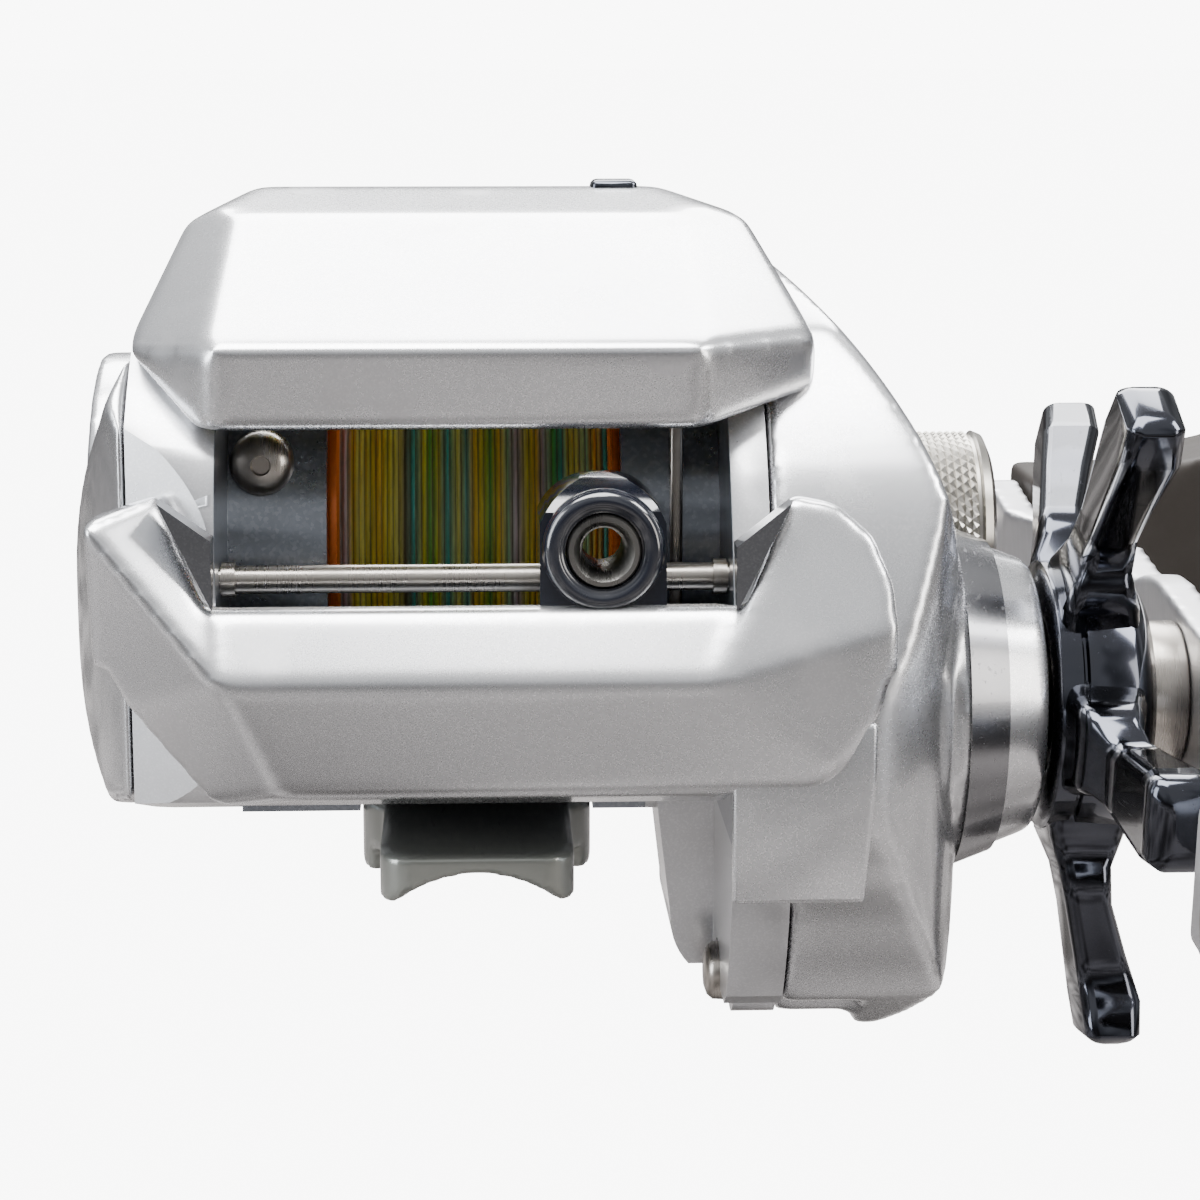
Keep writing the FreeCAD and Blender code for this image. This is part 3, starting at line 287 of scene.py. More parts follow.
# %% Floor
floor_mesh = bpy.data.meshes.new("floor")
sheet = bmesh.new()
bmesh.ops.create_grid(sheet, x_segments=1, y_segments=1, size=60.0)
sheet.to_mesh(floor_mesh)
sheet.free()
floor = bpy.data.objects.new("floor", floor_mesh)
bpy.context.scene.collection.objects.link(floor)
BELOW_REEL = 30
floor.location = (0, 0, CAD_BOX[0][2] - BELOW_REEL * MM)
paper = Finish("pale_floor", (0.8, 0.8, 0.8), 0.9)
patches = {"stops": [(0.36, (0.010, 0.008, 0.007)), (0.64, (0.24, 0.225, 0.22))]}
paper.feed("Base Color", paper.node("ShaderNodeValToRGB", patches, {0: paper.noise(24.0, 1.0)}))
glow = paper.node("ShaderNodeEmission", None, {"Strength": WHITE})
paper.seen_by_camera(Number(paper, paper.shader.outputs[0]), glow, share=0.96)
floor_mesh.materials.append(paper.material)
print("floor at", round(floor.location.z / MM, 1), "mm")

# %% [markdown]
# The covers are sprayed silver: aluminium flake in grey paint under a clear gloss coat.  Close up the
# flakes are specks a tenth of a millimetre across, each catching the light at its own angle, so tiny
# cells vary both the brightness and the tilt of the surface, while the clear coat above stays smooth.


# %% Silver flake paint
def add_flake(finish, dark, light, roughness, grain, stain=0.0):
    """Flake colour, roughness and bump; gives back the colour so that it can be mixed further."""
    cells = finish.node("ShaderNodeTexVoronoi", None, {"Vector": finish.place(), "Scale": grain}, "Color")
    flakes = finish.node("ShaderNodeSeparateXYZ", None, {0: cells})
    sparkle = flakes * flakes * flakes
    cloud = finish.noise(38, 3.0)
    colour = finish.mix(sparkle * 0.25 + cloud * 0.75, dark, light)
    handled = finish.noise(120, 6.0).above(0.66, 0.10)
    finish.feed("Roughness", roughness - 0.03 * sparkle + 0.08 * cloud + 0.08 * handled)
    finish.bump(flakes * 0.3 + finish.noise(1500, 2.0) * 0.4, 0.05, 0.012)
    return finish.mix(handled * stain, colour, (0.36, 0.33, 0.30)) if stain else colour


def flake_paint(name, dark, light, roughness, metallic, grain, stain=0.0):
    finish = Finish(name, light, roughness, metallic, Coat_Weight=0.8, Coat_Roughness=0.06, Coat_IOR=1.45)
    finish.feed("Base Color", add_flake(finish, dark, light, roughness, grain, stain))
    return finish.material


PAINT_DARK, PAINT_LIGHT = (0.40, 0.405, 0.42), (0.72, 0.72, 0.73)
INNER_DARK, INNER_LIGHT = (0.13, 0.145, 0.17), (0.36, 0.385, 0.43)
SILVER = flake_paint("silver_flake", PAINT_DARK, PAINT_LIGHT, 0.24, 0.92, 8600, 0.12)
# shaded_flake is painted shade: a near-black flake for the wedges where the horns' inner sides lie in shade.
SHADED = flake_paint("shaded_flake", (0.045, 0.046, 0.05), (0.13, 0.132, 0.14), 0.4, 0.8, 8600)
DARK_METAL = flake_paint("dark_flake", INNER_DARK, INNER_LIGHT, 0.32, 0.8, 5200)
print(SILVER.name, DARK_METAL.name)

# %% [markdown]
# The frame is one casting in both colours: its side walls are masked and sprayed silver outside, and
# everything that faces the spool stays dark.  The mask is a distance from the middle of the reel, and it
# adds the low belly on the handle's side.


# %% Two-tone frame
CASTING_WALL, BELLY_SIDE, BELLY_TOP = 17.04, 12.3, LIFT / MM - 16.9


def two_tone(name):
    finish = Finish(name, PAINT_LIGHT, 0.34, 0.82, Coat_Weight=0.7, Coat_Roughness=0.08, Coat_IOR=1.45)
    across, up = finish.axis(0), finish.axis(2)
    wide = finish.node("ShaderNodeMath", {"operation": "ABSOLUTE"}, {0: across})
    outside = wide.above(CASTING_WALL, 0.02)
    belly = across.above(BELLY_SIDE, 0.02) * (1 - up.above(BELLY_TOP, 0.02))
    silver = finish.node("ShaderNodeMath", {"operation": "MAXIMUM"}, {0: outside, 1: belly})
    dark = add_flake(finish, INNER_DARK, INNER_LIGHT, 0.34, 4200)
    light = add_flake(finish, PAINT_DARK, PAINT_LIGHT, 0.27, 8600)
    finish.feed("Base Color", finish.mix(silver, dark, light))
    return finish.material


FRAME_PAINT = two_tone("frame_paint")
print(FRAME_PAINT.name)

# %% [markdown]
# Turned and ground steel keeps the fine lines of the tool.  On a shaft they run round the axis, so the
# noise is stretched across it, and a darker film of old oil lies in patches.


# %% Metals
def turned_metal(name, colour, roughness, lines=(9000, 60, 60), stain=0.35):
    finish = Finish(name, colour, roughness, 1.0)
    cuts = finish.noise(1.0, 2.0, lines)
    patches = finish.noise(170, 4.0).above(0.56, 0.12)
    worn = tuple(0.62 * c for c in colour)
    finish.feed("Base Color", finish.mix(patches * stain + cuts * 0.25, colour, worn))
    finish.feed("Roughness", roughness + 0.16 * cuts + 0.12 * patches)
    finish.bump(cuts, 0.12, 0.01)
    return finish.material


STEEL = turned_metal("ground_steel", (0.40, 0.37, 0.335), 0.20, stain=0.55)
NICKEL = turned_metal("satin_nickel", (0.33, 0.315, 0.285), 0.24, stain=0.3)
DARK_NICKEL = turned_metal("dark_nickel", (0.20, 0.195, 0.185), 0.16, stain=0.2)
BRASS = turned_metal("cut_brass", (0.80, 0.60, 0.26), 0.28)
ARM_METAL = turned_metal("satin_arm", (0.56, 0.56, 0.575), 0.30, lines=(300, 4200, 300), stain=0.12)


def black_chrome(name, colour, roughness, metallic=1.0):
    finish = Finish(name, colour, roughness, metallic, Coat_Weight=0.35, Coat_Roughness=0.03)
    haze = finish.noise(120, 5.0)
    swirls = finish.noise(1.0, 3.0, (2600, 350, 2600)).above(0.68, 0.05)
    finish.feed("Base Color", finish.mix(haze * 0.7, colour, tuple(0.45 * c for c in colour)))
    finish.feed("Roughness", roughness + 0.10 * haze + 0.14 * swirls)
    finish.bump(finish.noise(420, 2.0), 0.03, 0.02)
    return finish.material


BLACK_CHROME = black_chrome("black_chrome", (0.048, 0.052, 0.066), 0.08)
FOOT_CHROME = black_chrome("foot_chrome", (0.30, 0.31, 0.285), 0.24, 0.6)
LABEL_GREY = black_chrome("label_band", (0.24, 0.24, 0.25), 0.20)
print("metals ready")

# %% [markdown]
# The rest is plastic, rubber and anodised aluminium.  Anodising tints the metal itself, so the orange
# spool stays metallic.  The knobs are soft-touch rubber: rough, with a faint pebble and a pale bloom.


# %% Plastics, rubber and anodising
def moulded(name, colour, roughness, grain, depth, coat=0.0, bloom=(0.2, 0.2, 0.2), shine=0.5):
    finish = Finish(name, colour, roughness, 0.0, Coat_Weight=coat, Coat_Roughness=0.08,
                    Specular_IOR_Level=shine)
    dust = finish.noise(110, 6.0).above(0.60, 0.16)
    pebble = finish.noise(grain, 3.0)
    finish.feed("Base Color", finish.mix(dust * 0.20, colour, bloom))
    finish.feed("Roughness", roughness + 0.16 * dust + 0.06 * pebble)
    finish.bump(pebble, 0.3, depth)
    return finish.material


GLOSS_BLACK = moulded("gloss_black", (0.004, 0.005, 0.009), 0.10, 700, 0.01, coat=0.8,
                      bloom=(0.03, 0.034, 0.045))
CARBON = moulded("woven_carbon", (0.03, 0.03, 0.034), 0.42, 1800, 0.03)
KNOB_GRIP = moulded("soft_knob", (0.020, 0.017, 0.015), 0.52, 2600, 0.04, bloom=(0.05, 0.045, 0.04),
                    shine=0.15)


def anodised(name, colour, roughness):
    finish = Finish(name, colour, roughness, 0.55, Coat_Weight=0.5, Coat_Roughness=0.12)
    rings = finish.noise(1.0, 2.0, (9000, 40, 40))
    finish.feed("Base Color", finish.mix(rings * 0.5, colour, tuple(0.55 * c for c in colour)))
    finish.feed("Roughness", roughness + 0.12 * rings)
    finish.bump(rings, 0.15, 0.01)
    return finish.material


ORANGE = anodised("orange_anodised", (0.95, 0.21, 0.025), 0.24)
print("plastics ready")

# %% [markdown]
# Every CAD node takes the finish of its slot.  A machine part is never sharp to the touch, so the screws,
# nuts and the casting get an edge bevel: modifiers weld the loose triangles, join the flat ones and break
# the edges.  Covers, knobs and the foot are moulded or polished, so theirs are sanded instead: the shape is
# rebuilt from small cubes and smoothed until the creases are soft.  The nodes' own meshes are untouched.

# %% Finish for each node
FINISH_OF_SLOT = {
    "silver_paint": SILVER, "dark_frame": DARK_METAL, "dark_chrome": BLACK_CHROME, "orange_anodised": ORANGE,
    "steel": STEEL, "gloss_black": GLOSS_BLACK, "nickel": NICKEL, "arm_silver": ARM_METAL,
    "knob_grip": KNOB_GRIP, "brass_gear": BRASS, "carbon": CARBON, "label_grey": LABEL_GREY, "braid": ORANGE,
}
SLOT_OF_NODE = {part["node"]: part["material_slot"] for part in frame["record"]["subparts"]}
CREASE = 32


def wear(piece, material):
    piece.data.materials.clear()
    piece.data.materials.append(material)


def break_edges(piece, width):
    weld = piece.modifiers.new("weld", "WELD")
    weld.merge_threshold = 0.000002
    flatten = piece.modifiers.new("flatten", "DECIMATE")
    flatten.decimate_type, flatten.angle_limit = "DISSOLVE", math.radians(0.6)
    edge = piece.modifiers.new("edge", "BEVEL")
    edge.width, edge.segments, edge.limit_method = width * MM, 3, "ANGLE"
    edge.angle_limit, edge.use_clamp_overlap = math.radians(CREASE), True
    edge.harden_normals = True


def soften(piece, voxel, rounds):
    """Sand every crease round: the shape is rebuilt from small cubes and smoothed."""
    rebuild = piece.modifiers.new("rebuild", "REMESH")
    rebuild.mode, rebuild.voxel_size, rebuild.use_smooth_shade = "VOXEL", voxel * MM, True
    sand = piece.modifiers.new("sand", "SMOOTH")
    sand.factor, sand.iterations = 0.5, rounds


for name, node in NODES.items():
    wear(node, FINISH_OF_SLOT[SLOT_OF_NODE[name]])
wear(NODES["foot"], FOOT_CHROME)
wear(NODES["frame"], FRAME_PAINT)
for name, width in {"frame": 0.3, "arm_nut": 0.3, "arm_spacer": 0.2, "nut_cap": 0.6, "line_guide": 0.3,
                    "knob_cap_1": 0.15, "knob_cap_2": 0.15, "foot_screws": 0.2, "plate_screws": 0.3}.items():
    break_edges(NODES[name], width)
SANDING = {"gear_side_plate": (0.42, 12), "palm_side_plate": (0.36, 16), "foot": (0.30, 6),
           "knob_1": (0.36, 14), "knob_2": (0.36, 14), "crank_arm": (0.30, 6), "thumb_bar": (0.30, 8),
           "brake_dial": (0.30, 5)}
for name, (voxel, rounds) in SANDING.items():
    soften(NODES[name], voxel, rounds)
print("finished", len(NODES), "nodes")

# %% [markdown]
# New pieces start as a bmesh and end as an object at the origin with its place in its mesh.  One helper does
# that hand-over: it recalculates the normals, smooths the faces, gives the finish, parents the piece to the
# empty of the body it rides on, and hides the nodes it stands for.


# %% A piece from a bmesh
def finish_piece(name, shape, material, body, replaces=(), smooth=True):
    bmesh.ops.recalc_face_normals(shape, faces=shape.faces)
    for face in shape.faces:
        face.smooth = smooth
    mesh = bpy.data.meshes.new(name)
    shape.to_mesh(mesh)
    shape.free()
    piece = bpy.data.objects.new(name, mesh)
    bpy.context.scene.collection.objects.link(piece)
    wear(piece, material)
    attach(piece, body)
    if replaces:
        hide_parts(*replaces)
    print(f"{name}: {len(mesh.polygons)} faces on {body}")
    return piece


def sharpen(piece, angle=CREASE):
    """Smooth shading that stays sharp across real edges."""
    piece.data.set_sharp_from_angle(angle=math.radians(angle))


# %% [markdown]
# The two front covers are moulded with flat facets that meet in soft creases.  The quickest way to such
# a shape is to carve it: start from a block, slice it with planes as a jeweller cuts a stone, and round
# what is left with a bevel.  Each cut is given by three corners of the facet that it leaves.  Two more
# helpers cut one shape out of another, and melt several into one.


# %% Carving
def carve(low, high, facets, width=0.0, inward=0.0):
    """A block between two corners, sliced by facets that are each given by three of their corners."""
    shape = bmesh.new()
    low, high = Vector(low), Vector(high)
    heart = (low + high) / 2
    bmesh.ops.create_cube(shape, size=1.0)
    bmesh.ops.scale(shape, vec=(high - low) * MM, verts=shape.verts)
    bmesh.ops.translate(shape, vec=spot(*heart), verts=shape.verts)
    for first, second, third in facets:
        first, second, third = Vector(first), Vector(second), Vector(third)
        facing = (second - first).cross(third - first).normalized()
        if facing.dot(first - heart) < 0:
            facing.negate()
        everything = shape.verts[:] + shape.edges[:] + shape.faces[:]
        sliced = bmesh.ops.bisect_plane(shape, geom=everything, plane_co=spot(*(first - facing * inward)),
                                        plane_no=facing, clear_outer=True)
        rim = [item for item in sliced["geom_cut"] if isinstance(item, bmesh.types.BMEdge)]
        if rim:
            bmesh.ops.holes_fill(shape, edges=rim, sides=0)
    bmesh.ops.remove_doubles(shape, verts=shape.verts, dist=0.05 * MM)
    bmesh.ops.dissolve_limit(shape, angle_limit=math.radians(1), verts=shape.verts, edges=shape.edges)
    if width:
        bmesh.ops.bevel(shape, geom=shape.edges[:], offset=width * MM, offset_type="OFFSET", segments=3,
                        profile=0.5, affect="EDGES", clamp_overlap=True, material=-1)
    return shape


def melt(piece, others):
    """Put the shells of other pieces into this one, and take those pieces away."""
    shape = bmesh.new()
    for source in (piece, *others):
        shape.from_mesh(source.data)
    shape.to_mesh(piece.data)
    shape.free()
    for source in others:
        bpy.data.objects.remove(source)


def subtract(piece, *tools):
    """Cut each tool out of a piece, and keep the result as the piece's own mesh."""
    for tool in tools:
        hole = bpy.data.meshes.new("tool")
        bmesh.ops.recalc_face_normals(tool, faces=tool.faces)
        tool.to_mesh(hole)
        tool.free()
        cutter = bpy.data.objects.new("cutter", hole)
        bpy.context.scene.collection.objects.link(cutter)
        step = piece.modifiers.new("cut", "BOOLEAN")
        step.operation, step.solver, step.object = "DIFFERENCE", "EXACT", cutter
        solid = bpy.data.meshes.new_from_object(piece.evaluated_get(bpy.context.evaluated_depsgraph_get()))
        piece.modifiers.clear()
        old, piece.data = piece.data, solid
        solid.name = piece.name
        bpy.data.objects.remove(cutter)
        bpy.data.meshes.remove(old)


print("carving tools ready")

# %% [markdown]
# The hood is the bright shape on top.  Its upper facet slopes down to a crease that runs straight
# across, a narrow dark facet drops from there to the lip, and the sides fall away from two creases
# that run front to back.  The same facets, moved inwards by the wall, carve the tool that hollows it.

# %% Hood
wall_thick = 1.7
left_crease, right_crease = (-17.0, -29.3, 16.5), (15.0, -29.3, 16.5)
left_tip, right_tip = (-22.9, -22.5, 15.8), (22.9, -22.5, 16.6)
hood_facets = [
    ((0, -28.2, 11.0), (0, -29.3, 16.5), (5, -29.3, 16.5)),
    ((0, -29.3, 16.5), (0, -13.0, 24.2), (5, -13.0, 24.2)),
    ((0, -13.0, 24.2), (0, -4.0, 25.7), (5, -4.0, 25.7)),
    (left_crease, (-16.2, -13, 24.2), left_tip),
    (right_crease, (14.2, -13, 24.2), right_tip),
    (left_crease, (-17.2, -28.2, 11), left_tip),
    (right_crease, (15.1, -28.2, 11), right_tip),
    ((-15.9, 0, 25.5), (-20.2, 0, 23.4), (-20.2, -5, 23.4)),
    ((-20.2, 0, 23.4), (-22.9, 0, 16.6), (-22.9, -5, 16.6)),
    ((14.0, 0, 25.5), (19.4, 0, 23.7), (19.4, -5, 23.7)),
    ((19.4, 0, 23.7), (23.0, 0, 16.6), (23.0, -5, 16.6)),
]
under_facets = [((-23.0, 0, 15.6), (-18.2, 0, 11.0), (-18.2, -5, 11.0)),
                ((15.0, 0, 10.9), (22.0, 0, 12.6), (22.0, -5, 12.6))]
hood_block = carve((-23.0, -29.4, 10.9), (23.1, -1.0, 25.7), hood_facets + under_facets, 0.5)
hood = finish_piece("hood_shell", hood_block, SILVER, "reel_frame", ["hood"])
subtract(hood, carve((-21.3, -27.6, 5.0), (21.4, 2.0, 24.0), hood_facets, inward=wall_thick))
soften(hood, voxel=0.34, rounds=40)

# %% [markdown]
# The nose below the window is one cover with a bright sloping lip, a darker front facet under it, and
# a horn at each end.  Carving gives its outside.  Three blocks are then cut out of it, which leave room for
# the window, for the casting behind and for the gear case beside it.

# %% Nose
lip_left, lip_right = (-16.6, -33.5, -4.8), (15.3, -33.5, -4.8)
far_left, high_left, low_left = (-25.3, -26.8, -8.0), (-25.1, -31.2, 5.3), (-12.6, -32.0, -12.8)
nose_facets = [
    ((0, -30.6, -0.4), (0, -33.5, -4.8), (5, -33.5, -4.8)),
    ((0, -33.5, -4.8), (0, -32.0, -12.6), (5, -32.0, -12.6)),
    ((0, -32.0, -12.6), (0, -27.0, -14.6), (5, -27.0, -14.6)),
    (lip_left, high_left, far_left),
    (lip_left, low_left, far_left),
    (lip_right, (27.5, -31.9, -1.5), (22.0, -32.6, -12.8)),
    ((-25.3, -20, -7.5), (-20.0, -20, -14.0), (-20.0, -25, -14.0)),
]
outline = [(20.8, 6.6), (23.8, 6.0), (26.2, 4.0), (27.5, 0.8), (27.7, -3.0), (26.6, -7.5), (24.0, -11.5),
           (20.5, -14.4)]
right_edge = [((x, -30, z), (far_x, -30, far_z), (far_x, -25, far_z))
              for (x, z), (far_x, far_z) in zip(outline, outline[1:])]
nose_block = carve((-25.3, -33.5, -14.4), (27.7, -20.5, -0.4), nose_facets + right_edge[3:], 0.4)
nose = finish_piece("nose_shell", nose_block, SILVER, "reel_frame", ["front_cover"])
gear_case_front = [
    ((20, -31.35, -9.5), (20, -30.2, -3.5), (25, -30.2, -3.5)),
    ((20, -30.2, -3.5), (20, -28.4, 2.2), (25, -28.4, 2.2)),
    ((20, -28.4, 2.2), (20, -25.6, 8.2), (25, -25.6, 8.2)),
]
frame_front = [((-20, -28.4, 4.0), (-20, -26.6, 9.8), (-15, -26.6, 9.8))]
window_sill = [((0, -28.9, -2.4), (0, -27.8, 0), (5, -27.8, 0))]


def gear_case():
    return carve((16.9, -31.35, -30), (40, -10, 12), gear_case_front)


subtract(nose, carve((-17.0, -28.9, -12.4), (17.0, -15, 8), window_sill),
         carve((-26, -28.35, -16.0), (17.0, -15, 12.0), frame_front), gear_case())

# %% [markdown]
# The nose climbs at both ends of the window into a horn that reaches up beside the hood.  The inner side
# of each horn slants away from the window and lies in shade, so a near-black wedge of painted shade is set
# on it, and the front of each carries the lip on upwards.  The horns are melted into the nose and sanded
# with it, so no seam shows.

# %% Horns
left_horn = [
    (lip_left, high_left, (-16.9, -30.6, -0.4)),
    (lip_left, high_left, far_left),
    ((-16.7, -33.5, -1.0), (-20.4, -29.0, 6.9), (-18.2, -24.0, -1.0)),
    ((-25.2, -26, 5.3), (-20.4, -26, 6.9), (-20.4, -30, 6.9)),
]
right_horn = right_edge[:4] + [
    (lip_right, (20.8, -28.6, 6.6), (27.5, -31.9, -1.5)),
    (lip_right, (27.5, -31.9, -1.5), (22.0, -32.6, -12.8)),
    ((16.9, -33.5, -1.0), (20.6, -28.6, 6.6), (18.4, -24.0, -1.0)),
    (lip_right, (17.2, -33.5, -0.4), (17.2, -30, -0.4)),
]
horns = {"left_horn": ((-25.25, -33.4, -4.7), (-16.2, -26.7, 6.9), left_horn),
         "right_horn": ((15.3, -33.45, -4.7), (27.6, -26.7, 6.6), right_horn)}
# Near-black wedges of painted shade on the inner side of each horn.
shaded = {
    "left_shade": ((-20.5, -31.0, -0.6), (-16.0, -28.3, 6.7), [
        ((-20.4, -28.9, 6.7), (-17.0, -28.6, 4.2), (-17.0, -30.4, -0.4)),
        ((-20.4, -29, 6.7), (-17.0, -29, 4.2), (-17.0, -30, 4.2)),
        ((-20.4, -29, 6.7), (-17.0, -29, -0.4), (-17.0, -30, -0.4)),
        ((-17.0, -29, 0), (-17.0, -29, 5), (-17.0, -30, 5))]),
    "right_shade": ((16.0, -31.0, -0.6), (20.7, -28.3, 6.5), [
        ((20.6, -28.9, 6.5), (17.0, -28.6, 3.6), (17.2, -30.4, -0.4)),
        ((20.6, -29, 6.5), (17.0, -29, 3.6), (17.0, -30, 3.6)),
        ((20.6, -29, 6.5), (17.2, -29, -0.4), (17.2, -30, -0.4)),
        ((17.0, -29, 0), (17.0, -29, 5), (17.0, -30, 5))]),
}
for name, (low, high, facets) in shaded.items():
    finish_piece(name, carve(low, high, facets), SHADED, "reel_frame", smooth=False)
parts = []
for name, (low, high, facets) in horns.items():
    horn = finish_piece(name, carve(low, high, facets), SILVER, "reel_frame")
    if name == "right_horn":
        subtract(horn, gear_case())
    parts.append(horn)
melt(nose, parts)
soften(nose, voxel=0.30, rounds=30)

# %% [markdown]
# The corner tab closes the nose at its lower right, over the front of the gear case.

# %% Corner tab
tab_side = [((26.3, -32.0, -12), (25.6, -32.0, -20), (25.6, -30, -20))]
tab_block = carve((16.8, -32.0, -20.15), (26.3, -30.9, -8.0), tab_side, 0.35)
sharpen(finish_piece("corner_tab", tab_block, SILVER, "reel_frame"))

# %% [markdown]
# Turned parts are drawn as half a section and spun.  The helper takes (along, radius) points and an
# axis, spins them a full turn and closes the seam, so a knob or a ring is only a list of steps.  A ring of
# wire has a round section, which a second helper draws.


# %% Spinning
def spun(profile, axis_point, axis="X", steps=96):
    shape = bmesh.new()
    centre, out = Vector(axis_point), Vector((0, 0, 1))
    along = {"X": Vector((1, 0, 0)), "Y": Vector((0, -1, 0))}[axis]
    verts = [shape.verts.new(centre + (along * a + out * r) * MM) for a, r in profile]
    for pair in list(zip(verts, verts[1:])) + [(verts[-1], verts[0])]:
        shape.edges.new(pair)
    bmesh.ops.spin(shape, geom=shape.verts[:] + shape.edges[:], cent=centre, axis=along, dvec=(0, 0, 0),
                   angle=math.tau, steps=steps, use_merge=True)
    bmesh.ops.remove_doubles(shape, verts=shape.verts, dist=0.002 * MM)
    return shape


def round_section(along, radius, thick, points):
    turns = [k * math.tau / points for k in range(points)]
    return [(along + thick * math.cos(turn), radius + thick * math.sin(turn)) for turn in turns]


print("spinning ready")

# %% [markdown]
# The spool is orange anodised aluminium.  Each flange is dished, with a rounded rim that stands a
# little proud, which is the bright orange line either side of the wound braid.

# %% Spool
HEART = Vector((0, SPOOL.y, SPOOL.z))
flange, rim, arbor = 11.0, 16.0, 10.4
half = [(7.0, 1.62), (7.0, 3.2), (0.9, 3.9), (0.9, 9.3), (9.4, 9.3), (10.7, 10.6), (10.75, 14.6),
        (flange, 15.0), (flange, 15.6), (10.9, 15.8), (10.62, 15.8), (10.55, 15.0), (10.4, 15.0),
        (10.33, rim - 0.1), (10.2, rim), (9.6, rim), (9.45, 15.7), (9.4, 14.9), (9.8, 11.2), (9.6, arbor)]
lathe = spun(half + [(-a, r) for a, r in reversed(half)], HEART)
sharpen(finish_piece("spool_lathe", lathe, ORANGE, "spool", ["spool"]), 50)

# %% [markdown]
# Braided line is dyed in bands along its length, so a full spool shows stripes of olive, gold, green
# and teal.  The turns lie side by side, which a scalloped section gives.  A few turns that crossed the
# others are thin hoops, tilted a few degrees.

# %% Wound line
half_pack, strand, line_out = 9.72, 0.40, 14.3
turns = int(2 * half_pack / strand)
scallops = []
for turn in range(turns):
    start = -half_pack + turn * strand
    crown = line_out - 0.35 * (start / half_pack) ** 2 + 0.10 * math.sin(turn * 2.4) * math.sin(turn * 0.7)
    for share, lift in ((0.04, -0.2), (0.27, -0.03), (0.5, 0.0), (0.77, -0.03)):
        scallops.append((start + share * strand, crown + lift))
pack = [(-half_pack, 10.6)] + scallops + [(half_pack, 13.6), (half_pack, 10.6)]


def braid(name):
    finish = Finish(name, (0.4, 0.36, 0.05), 0.5, 0.0)
    across = finish.axis(0)
    drift = finish.noise(1.0, 1.0, (1200, 14, 14)) - 0.5
    olive, gold, pale = (0.60, 0.52, 0.012), (0.80, 0.50, 0.008), (0.74, 0.70, 0.12)
    green, teal, mint = (0.07, 0.40, 0.04), (0.02, 0.36, 0.30), (0.30, 0.56, 0.26)
    mauve, brown = (0.50, 0.40, 0.42), (0.12, 0.09, 0.03)
    order = (brown, mauve, olive, pale, olive, gold, olive, pale, brown, teal, olive,
             green, olive, teal, pale, teal, gold, olive, green, gold, mint, mauve,
             olive, gold, mauve, green, teal, olive, pale, mint, gold, teal)
    bands = {"stops": [(n / len(order), colour) for n, colour in enumerate(order)]}
    colours = finish.node("ShaderNodeValToRGB", bands,
                          {0: (across + half_pack) / (2 * half_pack) + 0.035 * drift})
    fibre = finish.noise(1.0, 3.0, (5200, 260, 260))
    turn = finish.node("ShaderNodeMath", {"operation": "FRACT"}, {0: (across + half_pack) / strand})
    # Darker towards the gap at each edge of a turn: painted shade in the grooves between turns.
    painted_groove_shade = (turn - 0.5) * (turn - 0.5) * 4
    dye = finish.noise(1.0, 1.0, (2500, 30, 30))
    # The colour is pulled towards dark brown partly by the painted groove shade and partly by blotches of
    # darker dye.
    colours = finish.mix(painted_groove_shade * painted_groove_shade * 0.75 + dye.above(0.56, 0.1) * 0.25, colours, (0.10, 0.08, 0.02))
    finish.feed("Base Color", finish.mix(fibre.above(0.52, 0.25) * 0.45, colours, (0.12, 0.105, 0.03)))
    finish.feed("Roughness", 0.42 + 0.3 * fibre)
    finish.bump(finish.noise(1.0, 2.0, (7000, 2600, 2600)), 0.5, 0.03)
    return finish.material


BRAID = braid("dyed_braid")
finish_piece("wound_line", spun(pack, HEART, steps=120), BRAID, "spool", ["line_pack"])
crossings = [(-5.6, 9, 20), (-4.2, 12, 75), (-1.5, 7, 140), (5.2, 11, 200), (6.4, 8, 262), (1.6, 6, 318)]
for number, (x, tilt, turn) in enumerate(crossings):
    hoop = spun(round_section(0, 14.25, 0.09, 6), HEART, steps=90)
    lean = Matrix.Rotation(math.radians(turn), 4, "X") @ Matrix.Rotation(math.radians(tilt), 4, "Y")
    bmesh.ops.rotate(hoop, cent=HEART, matrix=lean, verts=hoop.verts)
    bmesh.ops.scale(hoop, vec=(0.35, 1, 1), space=Matrix.Translation(-HEART), verts=hoop.verts)
    bmesh.ops.translate(hoop, vec=(x * MM, 0, 0), verts=hoop.verts)
    finish_piece(f"crossed_turn_{number}", hoop, BRAID, "spool")

# %% [markdown]
# The line runs through a polished ring set in the guide's arch: a flared insert of hard metal inside a
# fat black ring.

# %% Eye
EYE = middle("eye_ring")
EYE.y = SPOOL.y
eye_front = -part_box("eye_ring")[0][1] / MM
insert = [(25.2, 2.45), (25.2, 1.35), (eye_front - 1.6, 1.35), (eye_front - 0.5, 1.62), (eye_front, 2.0),
          (eye_front - 0.02, 2.3), (eye_front - 0.5, 2.48)]
eye = spun(insert, EYE, "Y", 64)
sharpen(finish_piece("eye_insert", eye, DARK_NICKEL, "line_guide", ["eye_ring"]), 45)
black_ring = spun(round_section(eye_front - 0.75, 3.25, 0.72, 14), EYE, "Y", 64)
finish_piece("guide_ring", black_ring, GLOSS_BLACK, "line_guide")

# %% [markdown]
# The spool tension knob has a band of knurling between smooth rolled edges.  Each row of the band is
# turned half a step further than the last, and every face is then drawn up to a point.

